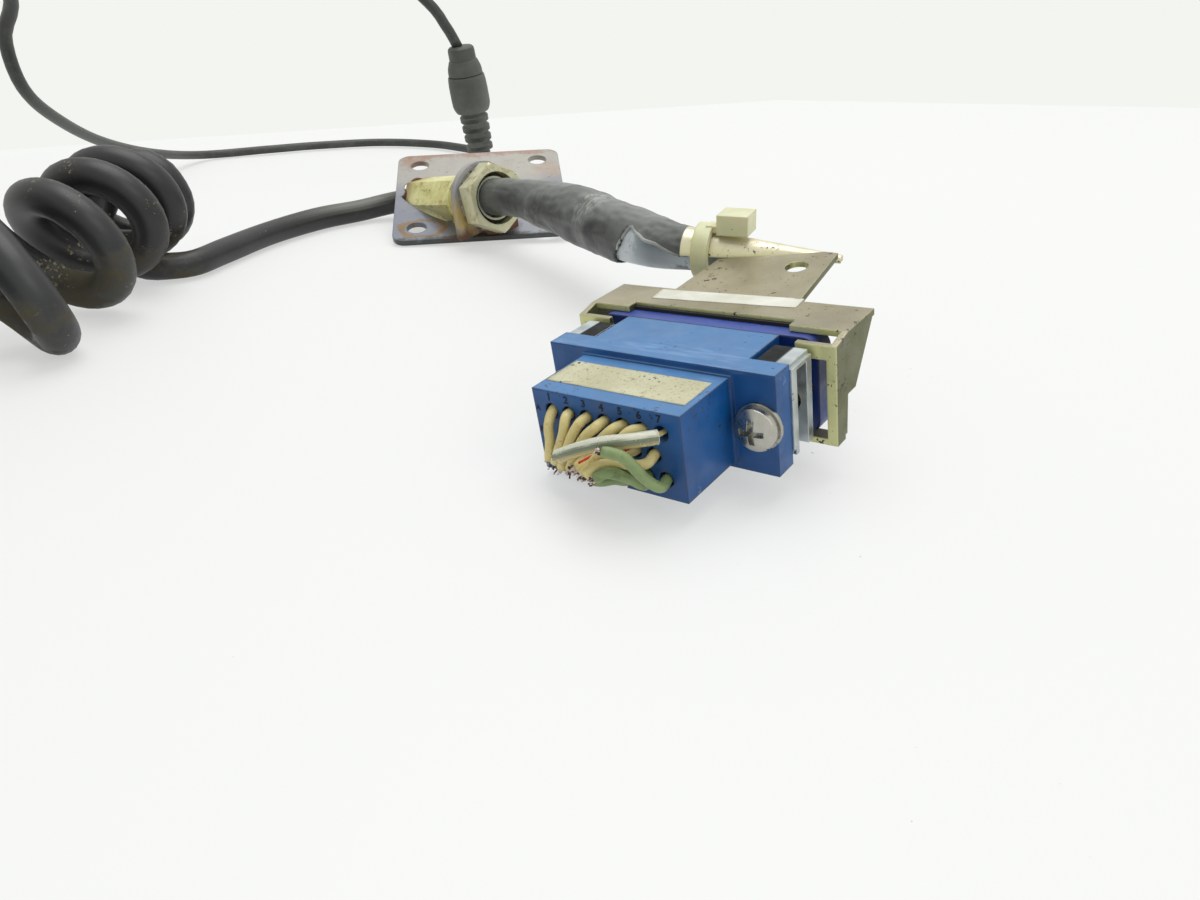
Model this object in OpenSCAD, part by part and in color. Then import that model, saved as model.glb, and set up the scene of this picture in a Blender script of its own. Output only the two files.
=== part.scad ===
// Handwheel pendant (manual pulse generator) with its curly cord, mounting plate and hooded
// 20-way connector, laid out on a table. Millimetres, +Z up, +Y away from the viewer.

/* [Connector] */
// Spacing of neighbouring contacts along a row
contact_pitch = 2.6; // [2.5:0.05:2.7]
// Spacing between the three contact rows
row_pitch = 2.9; // [2.8:0.05:3.0]
// Width of the wire-side nose
nose_width = 20.9; // [20.6:0.1:21.4]
// Height of the wire-side nose
nose_height = 10.9; // [10.6:0.1:11.2]
// Depth of the wire-side nose
nose_depth = 10.5; // [9.5:0.5:12]
// Width of both flanges
flange_width = 32.3; // [31.8:0.1:32.8]
// Height of both flanges
flange_height = 12.8; // [12.6:0.1:13.0]
// Thickness of both flanges
flange_thick = 3.4; // [3:0.1:3.8]
// Gap between the two flanges when plugged
flange_gap = 7.4; // [7.2:0.1:8]
// Distance between the two jackscrews
jack_pitch = 28; // [27.8:0.1:28.2]
// Diameter of the jackscrew shanks
jack_diameter = 2.6; // [2.4:0.1:2.7]

/* [Hood] */
// Thickness of the folded hood sheet
hood_sheet = 0.8; // [0.7:0.05:0.9]
// Outside width of the hood
hood_width = 37.6; // [37.2:0.1:38]
// Length of the tongue behind the roof
tongue_length = 11; // [10:0.5:12]
// Slope of the tongue in degrees
tongue_slope = 8; // [7:0.5:9]
// Radius of the cable saddle at its wide end
saddle_radius = 3.3; // [3.2:0.1:3.5]
// Sideways offset of the hood on the connector
hood_offset = 0.5; // [0:0.1:0.6]

/* [Mounting plate] */
// Side of the square mounting plate
plate_side = 41; // [41:0.5:44]
// Thickness of the mounting plate
plate_thick = 1.2; // [1:0.1:1.3]
// Spacing of the four plate holes
plate_hole_pitch = 30; // [29.5:0.5:31]
// Diameter of the four plate holes
plate_hole_diameter = 4.6; // [4.3:0.1:5]

/* [Gland] */
// Across flats of the lock nut
nut_flats = 13.4; // [13.2:0.1:14]
// Thickness of the lock nut
nut_thick = 4; // [3.5:0.1:4.3]
// Outside diameter of the gland tube
tube_diameter = 9.3; // [9.1:0.1:9.5]
// Across flats of the gland body
body_flats = 9.6; // [9.2:0.1:9.7]
// Length of the hexagonal part of the gland body
body_length = 19.8; // [18:0.1:20]

/* [Cords] */
// Diameter of the main cord
cord_diameter = 5.2; // [5:0.1:5.4]
// Outside diameter of the curly part
coil_diameter = 25; // [24:0.5:26]
// Diameter of the thin lead
lead_diameter = 2.6; // [2.4:0.1:2.8]
// Diameter of the in-line coupling
coupling_diameter = 12; // [11.6:0.1:12.4]

/* [Pendant] */
// Length of the pendant housing
pendant_length = 165; // [162:1:170]
// Width of the pendant housing
pendant_width = 86; // [84:1:90]
// Depth of the pendant housing
pendant_depth = 40; // [39:1:44]
// Wall of the pendant housing
pendant_wall = 2.5; // [2.2:0.1:3]
// Diameter of the handwheel dial
dial_diameter = 62; // [58:1:64]
// Radius at which the crank knob stands
crank_radius = 22; // [20:0.5:23]
// Diameter of the dial shaft
shaft_diameter = 6; // [5:0.5:7]
// Diameter of the stop button head
stop_diameter = 26; // [24:1:28]
// Travel of the stop button
stop_travel = 4; // [3:0.5:4.5]
// Diameter of the two selector knobs
selector_diameter = 22; // [20:1:24]
// Travel of each enabling button
enable_travel = 2.5; // [2:0.5:3]

/* [Fit] */
// Radial running clearance of turning pieces
run_gap = 0.08; // [0.05:0.01:0.1]
// Clearance round sliding pieces
slide_gap = 0.2; // [0.15:0.05:0.25]

/* [Hidden] */
$fn = 48;
eps = 0.01;
// Table frame origin, taken from the foot of the view point
shift_x = -122.83;
shift_y = 147.03;
// Connector placing
conn_at = [0.87, 89.43, 7.35];
conn_turn = [4.91, -6.44, -37.52];
// Plate placing
plate_at = [-47.3, 198.7, 0.16];
plate_turn = [16.7, -1.7, 6.6];
// Gland placing, at the middle of the nut's front face
gland_at = [-22.5, 197.3, 11.35];
gland_turn = [80, 0, 42];
body_top = 12.8;
body_corner = 6;
nut_corner = 36;
thread_diameter = 11.2;
// Pendant placing, at the foot of its cord end
pendant_at = [-115, 98, 0];
pendant_turn = [0, 0, 0];

flange_front = nose_depth;
gap_front = flange_front + flange_thick;
rear_front = gap_front + flange_gap;
rear_back = rear_front + flange_thick;
plug_inset = 6;
shell_wall = 1.5;
half_flange = flange_height / 2;
roof_top = half_flange + 0.1 + hood_sheet;
roof_back = rear_back + 5.5;
tab_front = rear_front - 1.9;
saddle_at = [-14.4, roof_back + 11.4, roof_top + 1.9];
saddle_length = 23;
tie_x = saddle_at[0] + 1.85;
tie_y = saddle_at[1] + 0.39;
tie_z = saddle_at[2] - 0.17;
jack_hole = jack_diameter + 2 * run_gap;

module table_frame() translate([-shift_x, -shift_y, 0]) children();
module conn_frame() table_frame() translate(conn_at) rotate(conn_turn) children();
module plate_frame() table_frame() translate(plate_at) rotate(plate_turn) children();
module gland_frame() table_frame() translate(gland_at) rotate(gland_turn) children();
module pendant_frame() table_frame() translate(pendant_at) rotate(pendant_turn) children();

// Box given by its two corners
module span(a, b) translate(a) cube(b - a);
// Upright box with round corners, from x0,y0,z0 to x1,y1,z1
module rbox(a, b, r) {
  span([a[0] + r, a[1], a[2]], [b[0] - r, b[1], b[2]]);
  span([a[0], a[1] + r, a[2]], [b[0], b[1] - r, b[2]]);
  for (x = [a[0] + r, b[0] - r]) for (y = [a[1] + r, b[1] - r])
    translate([x, y, a[2]]) cylinder(h = b[2] - a[2], r = r);
}
// Cylinder along y
module ycyl(x, y, z, h, d) translate([x, y, z]) rotate([-90, 0, 0]) cylinder(h = h, d = d);
module hexa(h, flats) cylinder(h = h, d = flats / cos(30), $fn = 6);

// The twenty places, seven, six and seven, the middle row set over by half a pitch
function place(k) = k < 7 ? [(k - 3) * contact_pitch, row_pitch]
  : k < 13 ? [(k - 7 - 2.5) * contact_pitch, 0]
  : [(k - 13 - 3) * contact_pitch, -row_pitch];
module at_places() for (k = [0:19]) translate([place(k)[0], 0, place(k)[1]]) children();

// Smooth line through points
function cr(p, i, t) = let (
  a = p[max(i - 1, 0)], b = p[i], c = p[i + 1], d = p[min(i + 2, len(p) - 1)])
  0.5 * (2 * b + (c - a) * t + (2 * a - 5 * b + 4 * c - d) * t * t + (3 * b - a - 3 * c + d) * t * t * t);
function line(p, n) = concat([for (i = [0:len(p) - 2]) for (j = [0:n - 1]) cr(p, i, j / n)],
  [p[len(p) - 1]]);
function unit(v) = v / norm(v);
function aim(p, i) = unit(p[min(i + 1, len(p) - 1)] - p[max(i - 1, 0)]);
// Round tube along a line, r is one radius or one for each point of the line
module tube(p, r, sides, up = [0.13, 0.21, 1]) {
  m = len(p);
  pts = [for (i = [0:m - 1]) let (
    t = aim(p, i), s = unit(cross(t, up)), w = cross(s, t), q = is_list(r) ? r[i] : r)
    for (k = [0:sides - 1]) p[i] + q * (cos(360 * k / sides) * s + sin(360 * k / sides) * w)];
  skin = [for (i = [0:m - 2]) for (k = [0:sides - 1]) let (
    a = i * sides + k, b = i * sides + (k + 1) % sides)
    each [[a, b, a + sides], [b, b + sides, a + sides]]];
  first = [[for (k = [0:sides - 1]) sides - 1 - k]];
  last = [[for (k = [0:sides - 1]) (m - 1) * sides + k]];
  polyhedron(points = pts, faces = concat(skin, first, last), convexity = 6);
}

// ---- front connector ----
module front_connector_body() color("#1f4f9c") conn_frame() difference() {
  union() {
    span([-nose_width / 2, 0, -nose_height / 2], [nose_width / 2, nose_depth + 1, nose_height / 2]);
    span([-flange_width / 2, flange_front, -half_flange], [flange_width / 2, gap_front, half_flange]);
    span([-11.2, gap_front - 1, -half_flange], [11.2, rear_front - 0.05, half_flange]);
    // Low step round the nose foot
    span([-nose_width / 2 - 0.3, flange_front - 0.3, -nose_height / 2 - 0.2],
      [nose_width / 2 + 0.3, flange_front + 1, nose_height / 2 + 0.2]);
  }
  at_places() {
    translate([0, -1, 0]) rotate([-90, 0, 0]) cylinder(h = 13.5, d = 1.9);
    translate([0, 11, 0]) rotate([-90, 0, 0]) cylinder(h = 12, d = 1.4);
  }
  // Recess for the mating plug
  span([-9.8, rear_front - plug_inset, -4.7], [9.8, rear_front + 1, 4.7]);
  for (s = [-1, 1]) ycyl(s * jack_pitch / 2, flange_front - 1, 0, flange_thick + 2, jack_hole);
  // Index groove under the nose
  span([-2, -1, -nose_height / 2 - 1], [2, 8, -nose_height / 2 + 0.5]);
}
module front_contacts() color("#c9a24a") conn_frame() at_places() difference() {
  union() {
    translate([0, 3.5, 0]) rotate([-90, 0, 0]) cylinder(h = 9, d = 1.86, $fn = 24);
    translate([0, 12.4, 0]) rotate([-90, 0, 0]) cylinder(h = 2.8, d = 1.36, $fn = 24);
  }
  translate([0, 6, 0]) rotate([-90, 0, 0]) cylinder(h = 12, d = 0.9, $fn = 24);
}
module nose_label() color("#d8d2b8") conn_frame()
  span([-nose_width / 2 + 0.3, 2.4, nose_height / 2], [nose_width / 2 - 0.9, 8.3, nose_height / 2 + 0.12]);
module jackscrew(s) conn_frame() translate([s * jack_pitch / 2, 0, 0]) difference() {
  union() {
    // Pan head on the washer
    intersection() {
      ycyl(0, flange_front - 2.5, 0, 2.0, 5.3);
      translate([0, flange_front + 1.55, 0]) sphere(r = 4.05, $fn = 64);
    }
    ycyl(0, flange_front - 0.55, 0, rear_back + 4 - flange_front, jack_diameter);
  }
  span([-1.5, flange_front - 3, -0.35], [1.5, flange_front - 1.5, 0.35]);
  span([-0.35, flange_front - 3, -1.5], [0.35, flange_front - 1.5, 1.5]);
}
module jackscrew_left() color("#c8c8c4") jackscrew(-1);
module jackscrew_right() color("#c8c8c4") jackscrew(1);
module screw_washers() color("#b9bab6") conn_frame() for (s = [-1, 1]) difference() {
  ycyl(s * jack_pitch / 2, flange_front - 0.5, 0, 0.5, 5.8);
  ycyl(s * jack_pitch / 2, flange_front - 1, 0, 2, jack_hole);
}
// Folded zinc brackets between the flanges, open below
module lock_brackets() color("#c3c9cc") conn_frame() for (s = [-1, 1])
  translate([s * 14.1, gap_front + 0.02, 0]) difference() {
    span([-2.3, 0, -5.4], [2.3, 4.9, half_flange - 0.2]);
    // Groove open to the outer side and below
    span([s > 0 ? -1.1 : -3, 1.2, -6], [s > 0 ? 3 : 1.1, 3.7, half_flange - 1.2]);
    ycyl(s * (jack_pitch / 2 - 14.1), -1, 0, 8, jack_hole + 0.3);
    // Small bend relief in the outer corner of each leg
    span([s * 2.3 - 0.5, -1, -5.5], [s * 2.3 + 0.5, 0.5, -4.6]);
    span([s * 2.3 - 0.4, -1, half_flange - 0.7], [s * 2.3 + 0.4, 6, half_flange]);
  }

// ---- cut wires, each a stub out of its cavity ----
wire_foot = 3.4;
wire_radius = 0.62;
function wire(k, q) = line(concat([[place(k)[0], wire_foot, place(k)[1]], [place(k)[0], 0.4, place(k)[1]]], q), 2);
module wires_cream() color("#d8bc78") conn_frame() {
  for (w = [[0, [[-7.5, -1.3, 1.6], [-7.2, -1.9, -0.2], [-7.7, -2.1, -2.2]]],
            [1, [[-4.7, -1.2, 3.0], [-5.0, -1.9, 1.0], [-6.3, -2.5, -2.1]]],
            [2, [[-2.8, -1.2, 2.6], [-3.7, -2.1, 0.8], [-5.1, -2.9, -2.3]]],
            [3, [[-0.3, -1.2, 2.7], [-1.9, -2.0, 1.1], [-3.6, -2.9, -2.0]]],
            [4, [[2.1, -1.1, 2.9], [0.7, -1.7, 1.6], [-1.2, -2.2, -0.5], [-2.2, -3.5, -1.8]]],
            [5, [[4.5, -1.1, 3.1], [3.2, -2.1, 1.9], [1.4, -3.4, 0.5], [-0.1, -4.9, -1.5]]],
            [12, [[6.4, -1.3, -0.4], [5.3, -2.3, -0.4], [3.3, -3.1, -0.1], [2.1, -4.6, 0], [0.9, -5.6, -0.9]]]])
    tube(wire(w[0], w[1]), wire_radius, 8, [1, 0.1, 0.3]);
}
module wire_red_stripe() color("#d9b58c") conn_frame()
  tube(wire(11, [[2.9, -1.2, -0.2], [1.6, -2.2, -0.2], [0.2, -2.8, -0.4], [-1.4, -4.4, -1.2]]),
    wire_radius, 8, [1, 0.1, 0.3]);
module wires_green() color("#8fb277") conn_frame() {
  for (w = [[19, [[8.0, -1.5, -3.0], [7.3, -2.9, -1.5], [6.9, -4.2, 0.6], [6.2, -5.0, 2.2], [5.2, -5.3, 2.6], [4.0, -5.7, 2.8]]],
            [18, [[5.8, -1.4, -3.3], [4.7, -2.6, -2.1], [3.9, -4.0, -0.9], [3.3, -5.1, -0.4], [2.5, -5.8, -0.9]]],
            [17, [[3.3, -1.3, -3.6], [2.4, -2.4, -3.5], [1.5, -3.1, -3.6], [1.0, -3.7, -3.0]]]])
    tube(wire(w[0], w[1]), wire_radius + 0.04, 8, [1, 0.1, 0.3]);
}
module wire_sleeved() color("#cfd3cc") conn_frame()
  tube(wire(6, [[7.2, -1.3, 3.0], [6.0, -2.9, 3.4], [3.2, -4.4, 3.0], [-0.5, -5.2, 1.7], [-3.3, -5.0, 0.3]]),
    0.8, 8, [0.2, 0.1, 1]);

// ---- rear connector in the hood ----
module rear_connector_body() color("#1b468c") conn_frame() difference() {
  union() {
    span([-9.6, rear_front - plug_inset + 0.4, -4.5], [9.6, rear_front + 1, 4.5]);
    span([-flange_width / 2 + 2, rear_front, -half_flange], [flange_width / 2 - 2, rear_back, half_flange]);
    span([-flange_width / 2, rear_front, -half_flange + 2], [flange_width / 2, rear_back, half_flange - 2]);
    for (x = [-1, 1]) for (z = [-1, 1])
      ycyl(x * (flange_width / 2 - 2), rear_front, z * (half_flange - 2), flange_thick, 4);
    span([-nose_width / 2, rear_back - 1, -nose_height / 2], [nose_width / 2, rear_back + 9, nose_height / 2]);
  }
  at_places() {
    translate([0, rear_front - plug_inset - 1, 0]) rotate([-90, 0, 0]) cylinder(h = 12, d = 1.1);
    translate([0, rear_back, 0]) rotate([-90, 0, 0]) cylinder(h = 12, d = 1.9);
  }
  for (s = [-1, 1]) ycyl(s * jack_pitch / 2, rear_front - 1, 0, flange_thick + 2, jack_hole);
}
module rear_contacts() color("#c9a24a") conn_frame() at_places() {
  translate([0, rear_front - plug_inset - 3.4, 0]) rotate([-90, 0, 0]) cylinder(h = 12.8, d = 0.8, $fn = 24);
  translate([0, rear_front + 3.2, 0]) rotate([-90, 0, 0]) cylinder(h = 3.4, d = 1.06, $fn = 24);
  translate([0, rear_back + 0.05, 0]) rotate([-90, 0, 0]) cylinder(h = 6, d = 1.8, $fn = 24);
}
module insert_nuts() color("#c2a35a") conn_frame() for (s = [-1, 1]) difference() {
  translate([s * jack_pitch / 2, rear_back, 0]) rotate([-90, 0, 0]) hexa(2.6, 5);
  ycyl(s * jack_pitch / 2, rear_back - 1, 0, 5, jack_hole);
}

// ---- hood ----
module hood_bracket() color("#b9b98a") conn_frame() translate([hood_offset, 0, 0]) {
  hw = hood_width / 2;
  low = -half_flange + 1.1;
  difference() {
    union() {
      // Roof with its two front horns
      span([-hw, rear_front + 1.2, roof_top - hood_sheet], [hw, roof_back, roof_top]);
      // Side walls, cut back behind, with a leg in front
      for (s = [-1, 1]) translate([s > 0 ? hw - hood_sheet : -hw, 0, 0])
        rotate([90, 0, 90]) linear_extrude(hood_sheet)
          polygon([[tab_front, roof_top - 0.7], [rear_front + 1.2, roof_top], [roof_back, roof_top],
            [roof_back - 5.6, -0.6], [tab_front + 3, -0.6], [tab_front + 2.7, low - 0.4], [tab_front, low - 0.4]]);
      // Front wraps: an upper tab, a narrow strip and a lower lip
      for (s = [-1, 1]) {
        span([min(s * hw, s * (hw - 5.2)), tab_front, roof_top - 2.5],
          [max(s * hw, s * (hw - 5.2)), tab_front + hood_sheet, roof_top - 0.7]);
        span([min(s * hw, s * (hw - 1.3)), tab_front, low - 0.4],
          [max(s * hw, s * (hw - 1.3)), tab_front + hood_sheet, roof_top - 0.7]);
        span([min(s * hw, s * (hw - 3.8)), tab_front, low - 1.0],
          [max(s * hw, s * (hw - 3.8)), tab_front + 2.2, low - 0.2]);
      }
      // Tongue
      translate([0, roof_back, roof_top]) rotate([tongue_slope, 0, 0])
        translate([0, 0, -hood_sheet]) linear_extrude(hood_sheet)
          polygon([[-9.9, -0.6], [9.0, -0.6], [8.1, 13.8], [6.2, 14.0], [-8.4, 9.6], [-9.0, 5.5]]);
    }
    // Notch in the front of the roof
    span([-11.9 - hood_offset, tab_front - 1, roof_top - 2], [11.9 - hood_offset, rear_front + 3, roof_top + 1]);
    // Hole in the tongue
    translate([4.2, roof_back + 9.0, roof_top - 3]) cylinder(h = 8, d = 3.2);
  }
}
module hood_saddle() color("#c2c08c") conn_frame()
  translate(saddle_at) rotate([0, 95, 12]) rotate([0, 0, 90])
    rotate_extrude(angle = 180) polygon([[saddle_radius - hood_sheet, 0], [saddle_radius, 0],
      [0.9, saddle_length], [0.15, saddle_length]]);
module hood_label() color("#dcd8c4") conn_frame() translate([0, 0, roof_top]) linear_extrude(0.12)
  polygon([[-11.0, rear_front + 3.9], [10.2, rear_front + 5.7], [10.3, rear_front + 8.9], [-10.6, rear_front + 7.8]]);

// ---- cable, sheath and tie between hood and gland, in the table frame ----
inner_line = [[-28.2, 202.8, 10.3], [-19.0, 192.6, 12.5], [-9.1, 179, 13.6], [1.7, 159.5, 14.5], [9, 146, 15.4], [14.0, 135.2, 17.0],
  [18.0, 130.6, 17.6], [23.2, 126.6, 15.6], [24.8, 120.6, 11.2], [22.6, 116.6, 10.3]];
sheath_line = [[-23.9, 198.0, 11.3], [-17.6, 191, 12.8], [-9.1, 179, 13.6], [-2.5, 167, 14.4], [3.4, 156, 14.6],
  [9, 146, 15.4], [13.6, 136, 16.9]];
module inner_cable() color("#7c8a96") table_frame() tube(line(inner_line, 1), 2.6, 10);
module sheath() color("#4c4e4c") table_frame() tube(line(sheath_line, 2),
  [3.9, 3.9, 3.95, 4.4, 4.9, 5.2, 5.45, 5.45, 5.3, 5.1, 4.75, 4.3, 3.8], 12);
module cable_tie() color("#e3dfca") conn_frame()
  translate([tie_x, tie_y, tie_z]) rotate([0, 95, 12]) {
    difference() {
      cylinder(h = 2.5, r = saddle_radius + 0.85);
      translate([0, 0, -1]) cylinder(h = 5, r = saddle_radius - 0.12);
    }
    // Ratchet head beside the strap on the ridge
    difference() {
      union() {
        translate([-saddle_radius - 2.7, -2.2, 3.4]) cube([2.9, 4.4, 4.6]);
        translate([-saddle_radius - 0.8, -1.3, 1.5]) cube([1.0, 2.6, 3]);
      }
      translate([-saddle_radius - 2.0, -1.3, 4.4]) cube([1.2, 8, 2.6]);
    }
  }

// ---- mounting plate and gland ----
// Slanting way through the plate for the gland body and its cord
module gland_opening() gland_frame() {
  translate([0, 0, -body_top - body_length - 0.3])
    cylinder(h = body_length + 1.3, r = body_flats / 2 / cos(30) + 0.15);
  translate([0, 0, -body_top - body_length - 6]) cylinder(h = 7, r = cord_diameter / 2 + 1.6);
}
module mounting_plate() color("#9a9c9c") difference() {
  plate_frame() rbox([0, 0, 0], [plate_side, plate_side, plate_thick], 3);
  plate_frame() for (x = [-1, 1]) for (y = [-1, 1])
    translate([plate_side / 2 + x * plate_hole_pitch / 2, plate_side / 2 + y * plate_hole_pitch / 2, -1])
      cylinder(h = plate_thick + 2, d = plate_hole_diameter);
  gland_opening();
}
module gland_lug() color("#8f9191") difference() {
  gland_frame() difference() {
    union() {
      span([-8, -12, -6.6], [8, 0, -4.9]);
      translate([0, 0, -6.6]) cylinder(h = 1.7, r = 8);
    }
    translate([0, 0, -8]) cylinder(h = 6, d = thread_diameter + 0.1);
  }
  plate_frame() span([-10, -20, -20], [60, 40, plate_thick]);
  // Lower corner cut off flush with the plate's front edge
  plate_frame() span([-10, -20, 0], [60, 0.4, 3.4]);
}
module gland_body() color("#c9bd6a") gland_frame() difference() {
  union() {
    translate([0, 0, -8.5]) cylinder(h = 6.7, d = tube_diameter);
    translate([0, 0, -8.5]) cylinder(h = 5.7, d = thread_diameter);
    translate([0, 0, -8.4]) cylinder(h = 1.78, d = 12);
    translate([0, 0, -12]) cylinder(h = 3.7, d = 9.8);
    translate([0, 0, -body_top]) cylinder(h = 1, d = 10.8);
    translate([0, 0, -body_top - body_length]) rotate([0, 0, body_corner]) hexa(body_length + 0.1, body_flats);
  }
  translate([0, 0, -9]) cylinder(h = 14, d = 8.4);
  translate([0, 0, -60]) cylinder(h = 62, d = cord_diameter + 0.2);
  // Notch in the collar
  rotate([0, 0, 145]) translate([3.9, -1.3, -11.7]) cube([4, 2.6, 2.6]);
}
module gland_lock_nut() color("#d8d08c") gland_frame() difference() {
  intersection() {
    translate([0, 0, -nut_thick]) rotate([0, 0, nut_corner]) hexa(nut_thick, nut_flats);
    translate([0, 0, -nut_thick - 1]) cylinder(h = nut_thick + 1.01, r1 = 9.3 + nut_thick, r2 = nut_flats / 2 + 0.55);
  }
  translate([0, 0, -nut_thick - 1]) cylinder(h = nut_thick + 2, d = thread_diameter + 0.02);
}
module gland_lock_washer() color("#6f6a5c") gland_frame() difference() {
  translate([0, 0, -4.88]) cylinder(h = 4.86 - nut_thick, d = nut_flats + 0.6);
  translate([0, 0, -6]) cylinder(h = 4, d = thread_diameter + 0.1);
  for (k = [0:11]) rotate([0, 0, 30 * k]) translate([nut_flats / 2 - 0.1, -0.6, -5]) cube([1, 1.2, 2]);
}

// ---- curly cord ----
tail_line = [[-42.2, 218.3, 7.0], [-44.7, 221.1, 6.3], [-48.8, 224.1, 4.9], [-53.8, 224.6, 3.8], [-60, 221.4, 2.8], [-67.9, 213.8, 2.7], [-75.2, 200.8, 2.65],
  [-80.6, 186, 2.65], [-83.4, 174.6, 2.65], [-88.6, 170.4, 2.65]];
coil_foot = [-94.6, 186, 13.2];
coil_head = [-96.5, 118, 12.8];
lead_in_line = [[-96.6, 118.3, 12.8], [-91.5, 108.5, 13.6], [-91.8, 100.5, 15.8], [-97.5, 98, 17.6], [-105.7, 98, 18]];
module cord_tail() color("#26282a") table_frame() tube(line(tail_line, 2), cord_diameter / 2, 10);
module cord_coil() color("#232527") table_frame() {
  v = coil_head - coil_foot;
  az = atan2(v[1], v[0]);
  el = acos(v[2] / norm(v));
  translate(coil_foot) rotate([0, el, az]) cylinder(h = norm(v), d = coil_diameter);
}
module cord_lead_in() color("#26282a") table_frame() tube(line(lead_in_line, 2), cord_diameter / 2, 10);

// ---- thin lead and in-line coupling ----
coupling_foot = [-39.5, 303, 4.1];
coupling_head = [-43.3, 299.5, 35.2];
thin_near_line = [[-109.6, 78, 26], [-102, 78.2, 26.4], [-92.5, 82.5, 32], [-90, 98, 46], [-97, 125, 61], [-111, 160, 67],
  [-122, 190, 62], [-124.5, 203, 49],
  [-117.5, 201, 31], [-116, 222, 18], [-124, 262, 7], [-128, 296, 1.8], [-112.5, 313.8, 1.5], [-98.9, 323.7, 1.45],
  [-78, 330, 1.45], [-57, 325, 1.5], [-41.6, 314.5, 1.6], [-38.8, 308.4, 2.1], [-39.5, 303.0, 4.2]];
thin_far_line = [[-43.3, 299.5, 34.9], [-47.2, 298, 41.0], [-53.4, 295.8, 49], [-80, 290, 72], [-125, 286, 86], [-175, 284, 80],
  [-215, 280, 54], [-237, 273, 20], [-243, 261, 4.6], [-243, 246, 2.6]];
module thin_cord_near() color("#1d1e20") table_frame() tube(line(thin_near_line, 2), lead_diameter / 2, 8, [0.35, 0.9, 0.1]);
module thin_cord_far() color("#1d1e20") table_frame() tube(line(thin_far_line, 2), lead_diameter / 2, 8, [0.1, 1, 0.2]);
module coupling_frame() {
  v = coupling_head - coupling_foot;
  table_frame() translate(coupling_foot) rotate([0, acos(v[2] / norm(v)), atan2(v[1], v[0])]) children();
}
coupling_length = norm(coupling_head - coupling_foot);
module coupling_socket() color("#1b1c1e") coupling_frame() {
  // Ribbed boot
  for (z = [0.6:2.3:10]) translate([0, 0, z]) cylinder(h = 1.5, r = 4.2 + z * 0.04);
  cylinder(h = 12, r = 3.3);
  translate([0, 0, 11.4]) cylinder(h = 2.4, r1 = 4.6, r2 = coupling_diameter / 2);
  translate([0, 0, 13.8]) cylinder(h = 6.2, d = coupling_diameter);
  translate([0, 0, 20]) cylinder(h = 3, r1 = coupling_diameter / 2, r2 = coupling_diameter / 2 - 0.4);
}
module coupling_plug() color("#202123") coupling_frame() {
  translate([0, 0, 23.02]) cylinder(h = 3.4, r1 = coupling_diameter / 2 - 0.7, r2 = 4.6);
  translate([0, 0, 26.4]) cylinder(h = coupling_length - 26.9, r = 4.15);
  translate([0, 0, coupling_length - 0.51]) cylinder(h = 0.5, r1 = 4.15, r2 = 3.6);
}
module thin_end_plug() color("#202123") table_frame() translate([-243, 246.2, 2.55]) rotate([0, 90, -90]) {
  cylinder(h = 9, d1 = 4.2, d2 = 5);
  translate([0, 0, 9]) cylinder(h = 11, d = 5);
  translate([0, 0, 20]) cylinder(h = 9, d = 2.4);
}

// ---- pendant ----
pl = pendant_length;
pw = pendant_width;
pd = pendant_depth;
split_z = 14;
dial_x = -pl + 47;
dial_y = 0;
sel_x = -64;
sel_y = 21;
stop_x = -28;
stop_y = 14;
encoder_r = 21;
shaft_hole = shaft_diameter + 2 * run_gap;
bezel_top = pd + 1.6;
module pendant_front_shell() color("#c9c9c2") pendant_frame() difference() {
  union() {
    rbox([-pl, -pw / 2, split_z], [0, pw / 2, pd], 9);
    translate([dial_x, dial_y, pd - 1]) cylinder(h = 2.6, d = dial_diameter + 10);
  }
  rbox([-pl + pendant_wall, -pw / 2 + pendant_wall, split_z - 1], [-pendant_wall, pw / 2 - pendant_wall, pd - pendant_wall], 7);
  translate([dial_x, dial_y, pd - 4]) cylinder(h = 8, d = 24);
  for (s = [-1, 1]) translate([sel_x, s * sel_y, pd - 4]) cylinder(h = 8, d = 7.4);
  translate([stop_x, stop_y, pd - 4]) cylinder(h = 8, d = 18.4);
  translate([stop_x, -22, pd - 4]) cylinder(h = 8, d = 5.2);
  // Cord hole and lead hole
  for (h = [[0, 18, 12.2], [-20, 26, 6.4]]) translate([-8, h[0], h[1]]) rotate([0, 90, 0]) cylinder(h = 16, d = h[2]);
  // Enabling button slots
  for (s = [-1, 1]) span([-112 - slide_gap, s * pw / 2 - 5, 20 - slide_gap], [-72 + slide_gap, s * pw / 2 + 5, 32 + slide_gap]);
  // Screw pockets
  for (x = [-8, -pl + 8]) for (y = [-1, 1]) translate([x, y * (pw / 2 - 8), split_z - 1]) cylinder(h = 9, d = 2.9);
}
module screw_posts() for (x = [-8, -pl + 8]) for (y = [-1, 1])
  translate([x, y * (pw / 2 - 8), 0]) children();
module pendant_rear_shell() color("#b9b9b2") pendant_frame() difference() {
  union() {
    difference() {
      rbox([-pl, -pw / 2, 1.5], [0, pw / 2, split_z], 9);
      rbox([-pl + pendant_wall, -pw / 2 + pendant_wall, 4], [-pendant_wall, pw / 2 - pendant_wall, split_z + 1], 7);
    }
    screw_posts() translate([0, 0, 2]) cylinder(h = split_z - 2, d = 7);
  }
  screw_posts() {
    translate([0, 0, 0]) cylinder(h = split_z + 1, d = 3.2);
    translate([0, 0, 0]) cylinder(h = 4.5, d = 6);
  }
  for (x = [-30, -pl + 30]) for (y = [-1, 1]) translate([x, y * 22, 0]) cylinder(h = 3.5, d = 16.2);
  translate([-8, 0, 18]) rotate([0, 90, 0]) cylinder(h = 16, d = 12.2);
}
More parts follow.
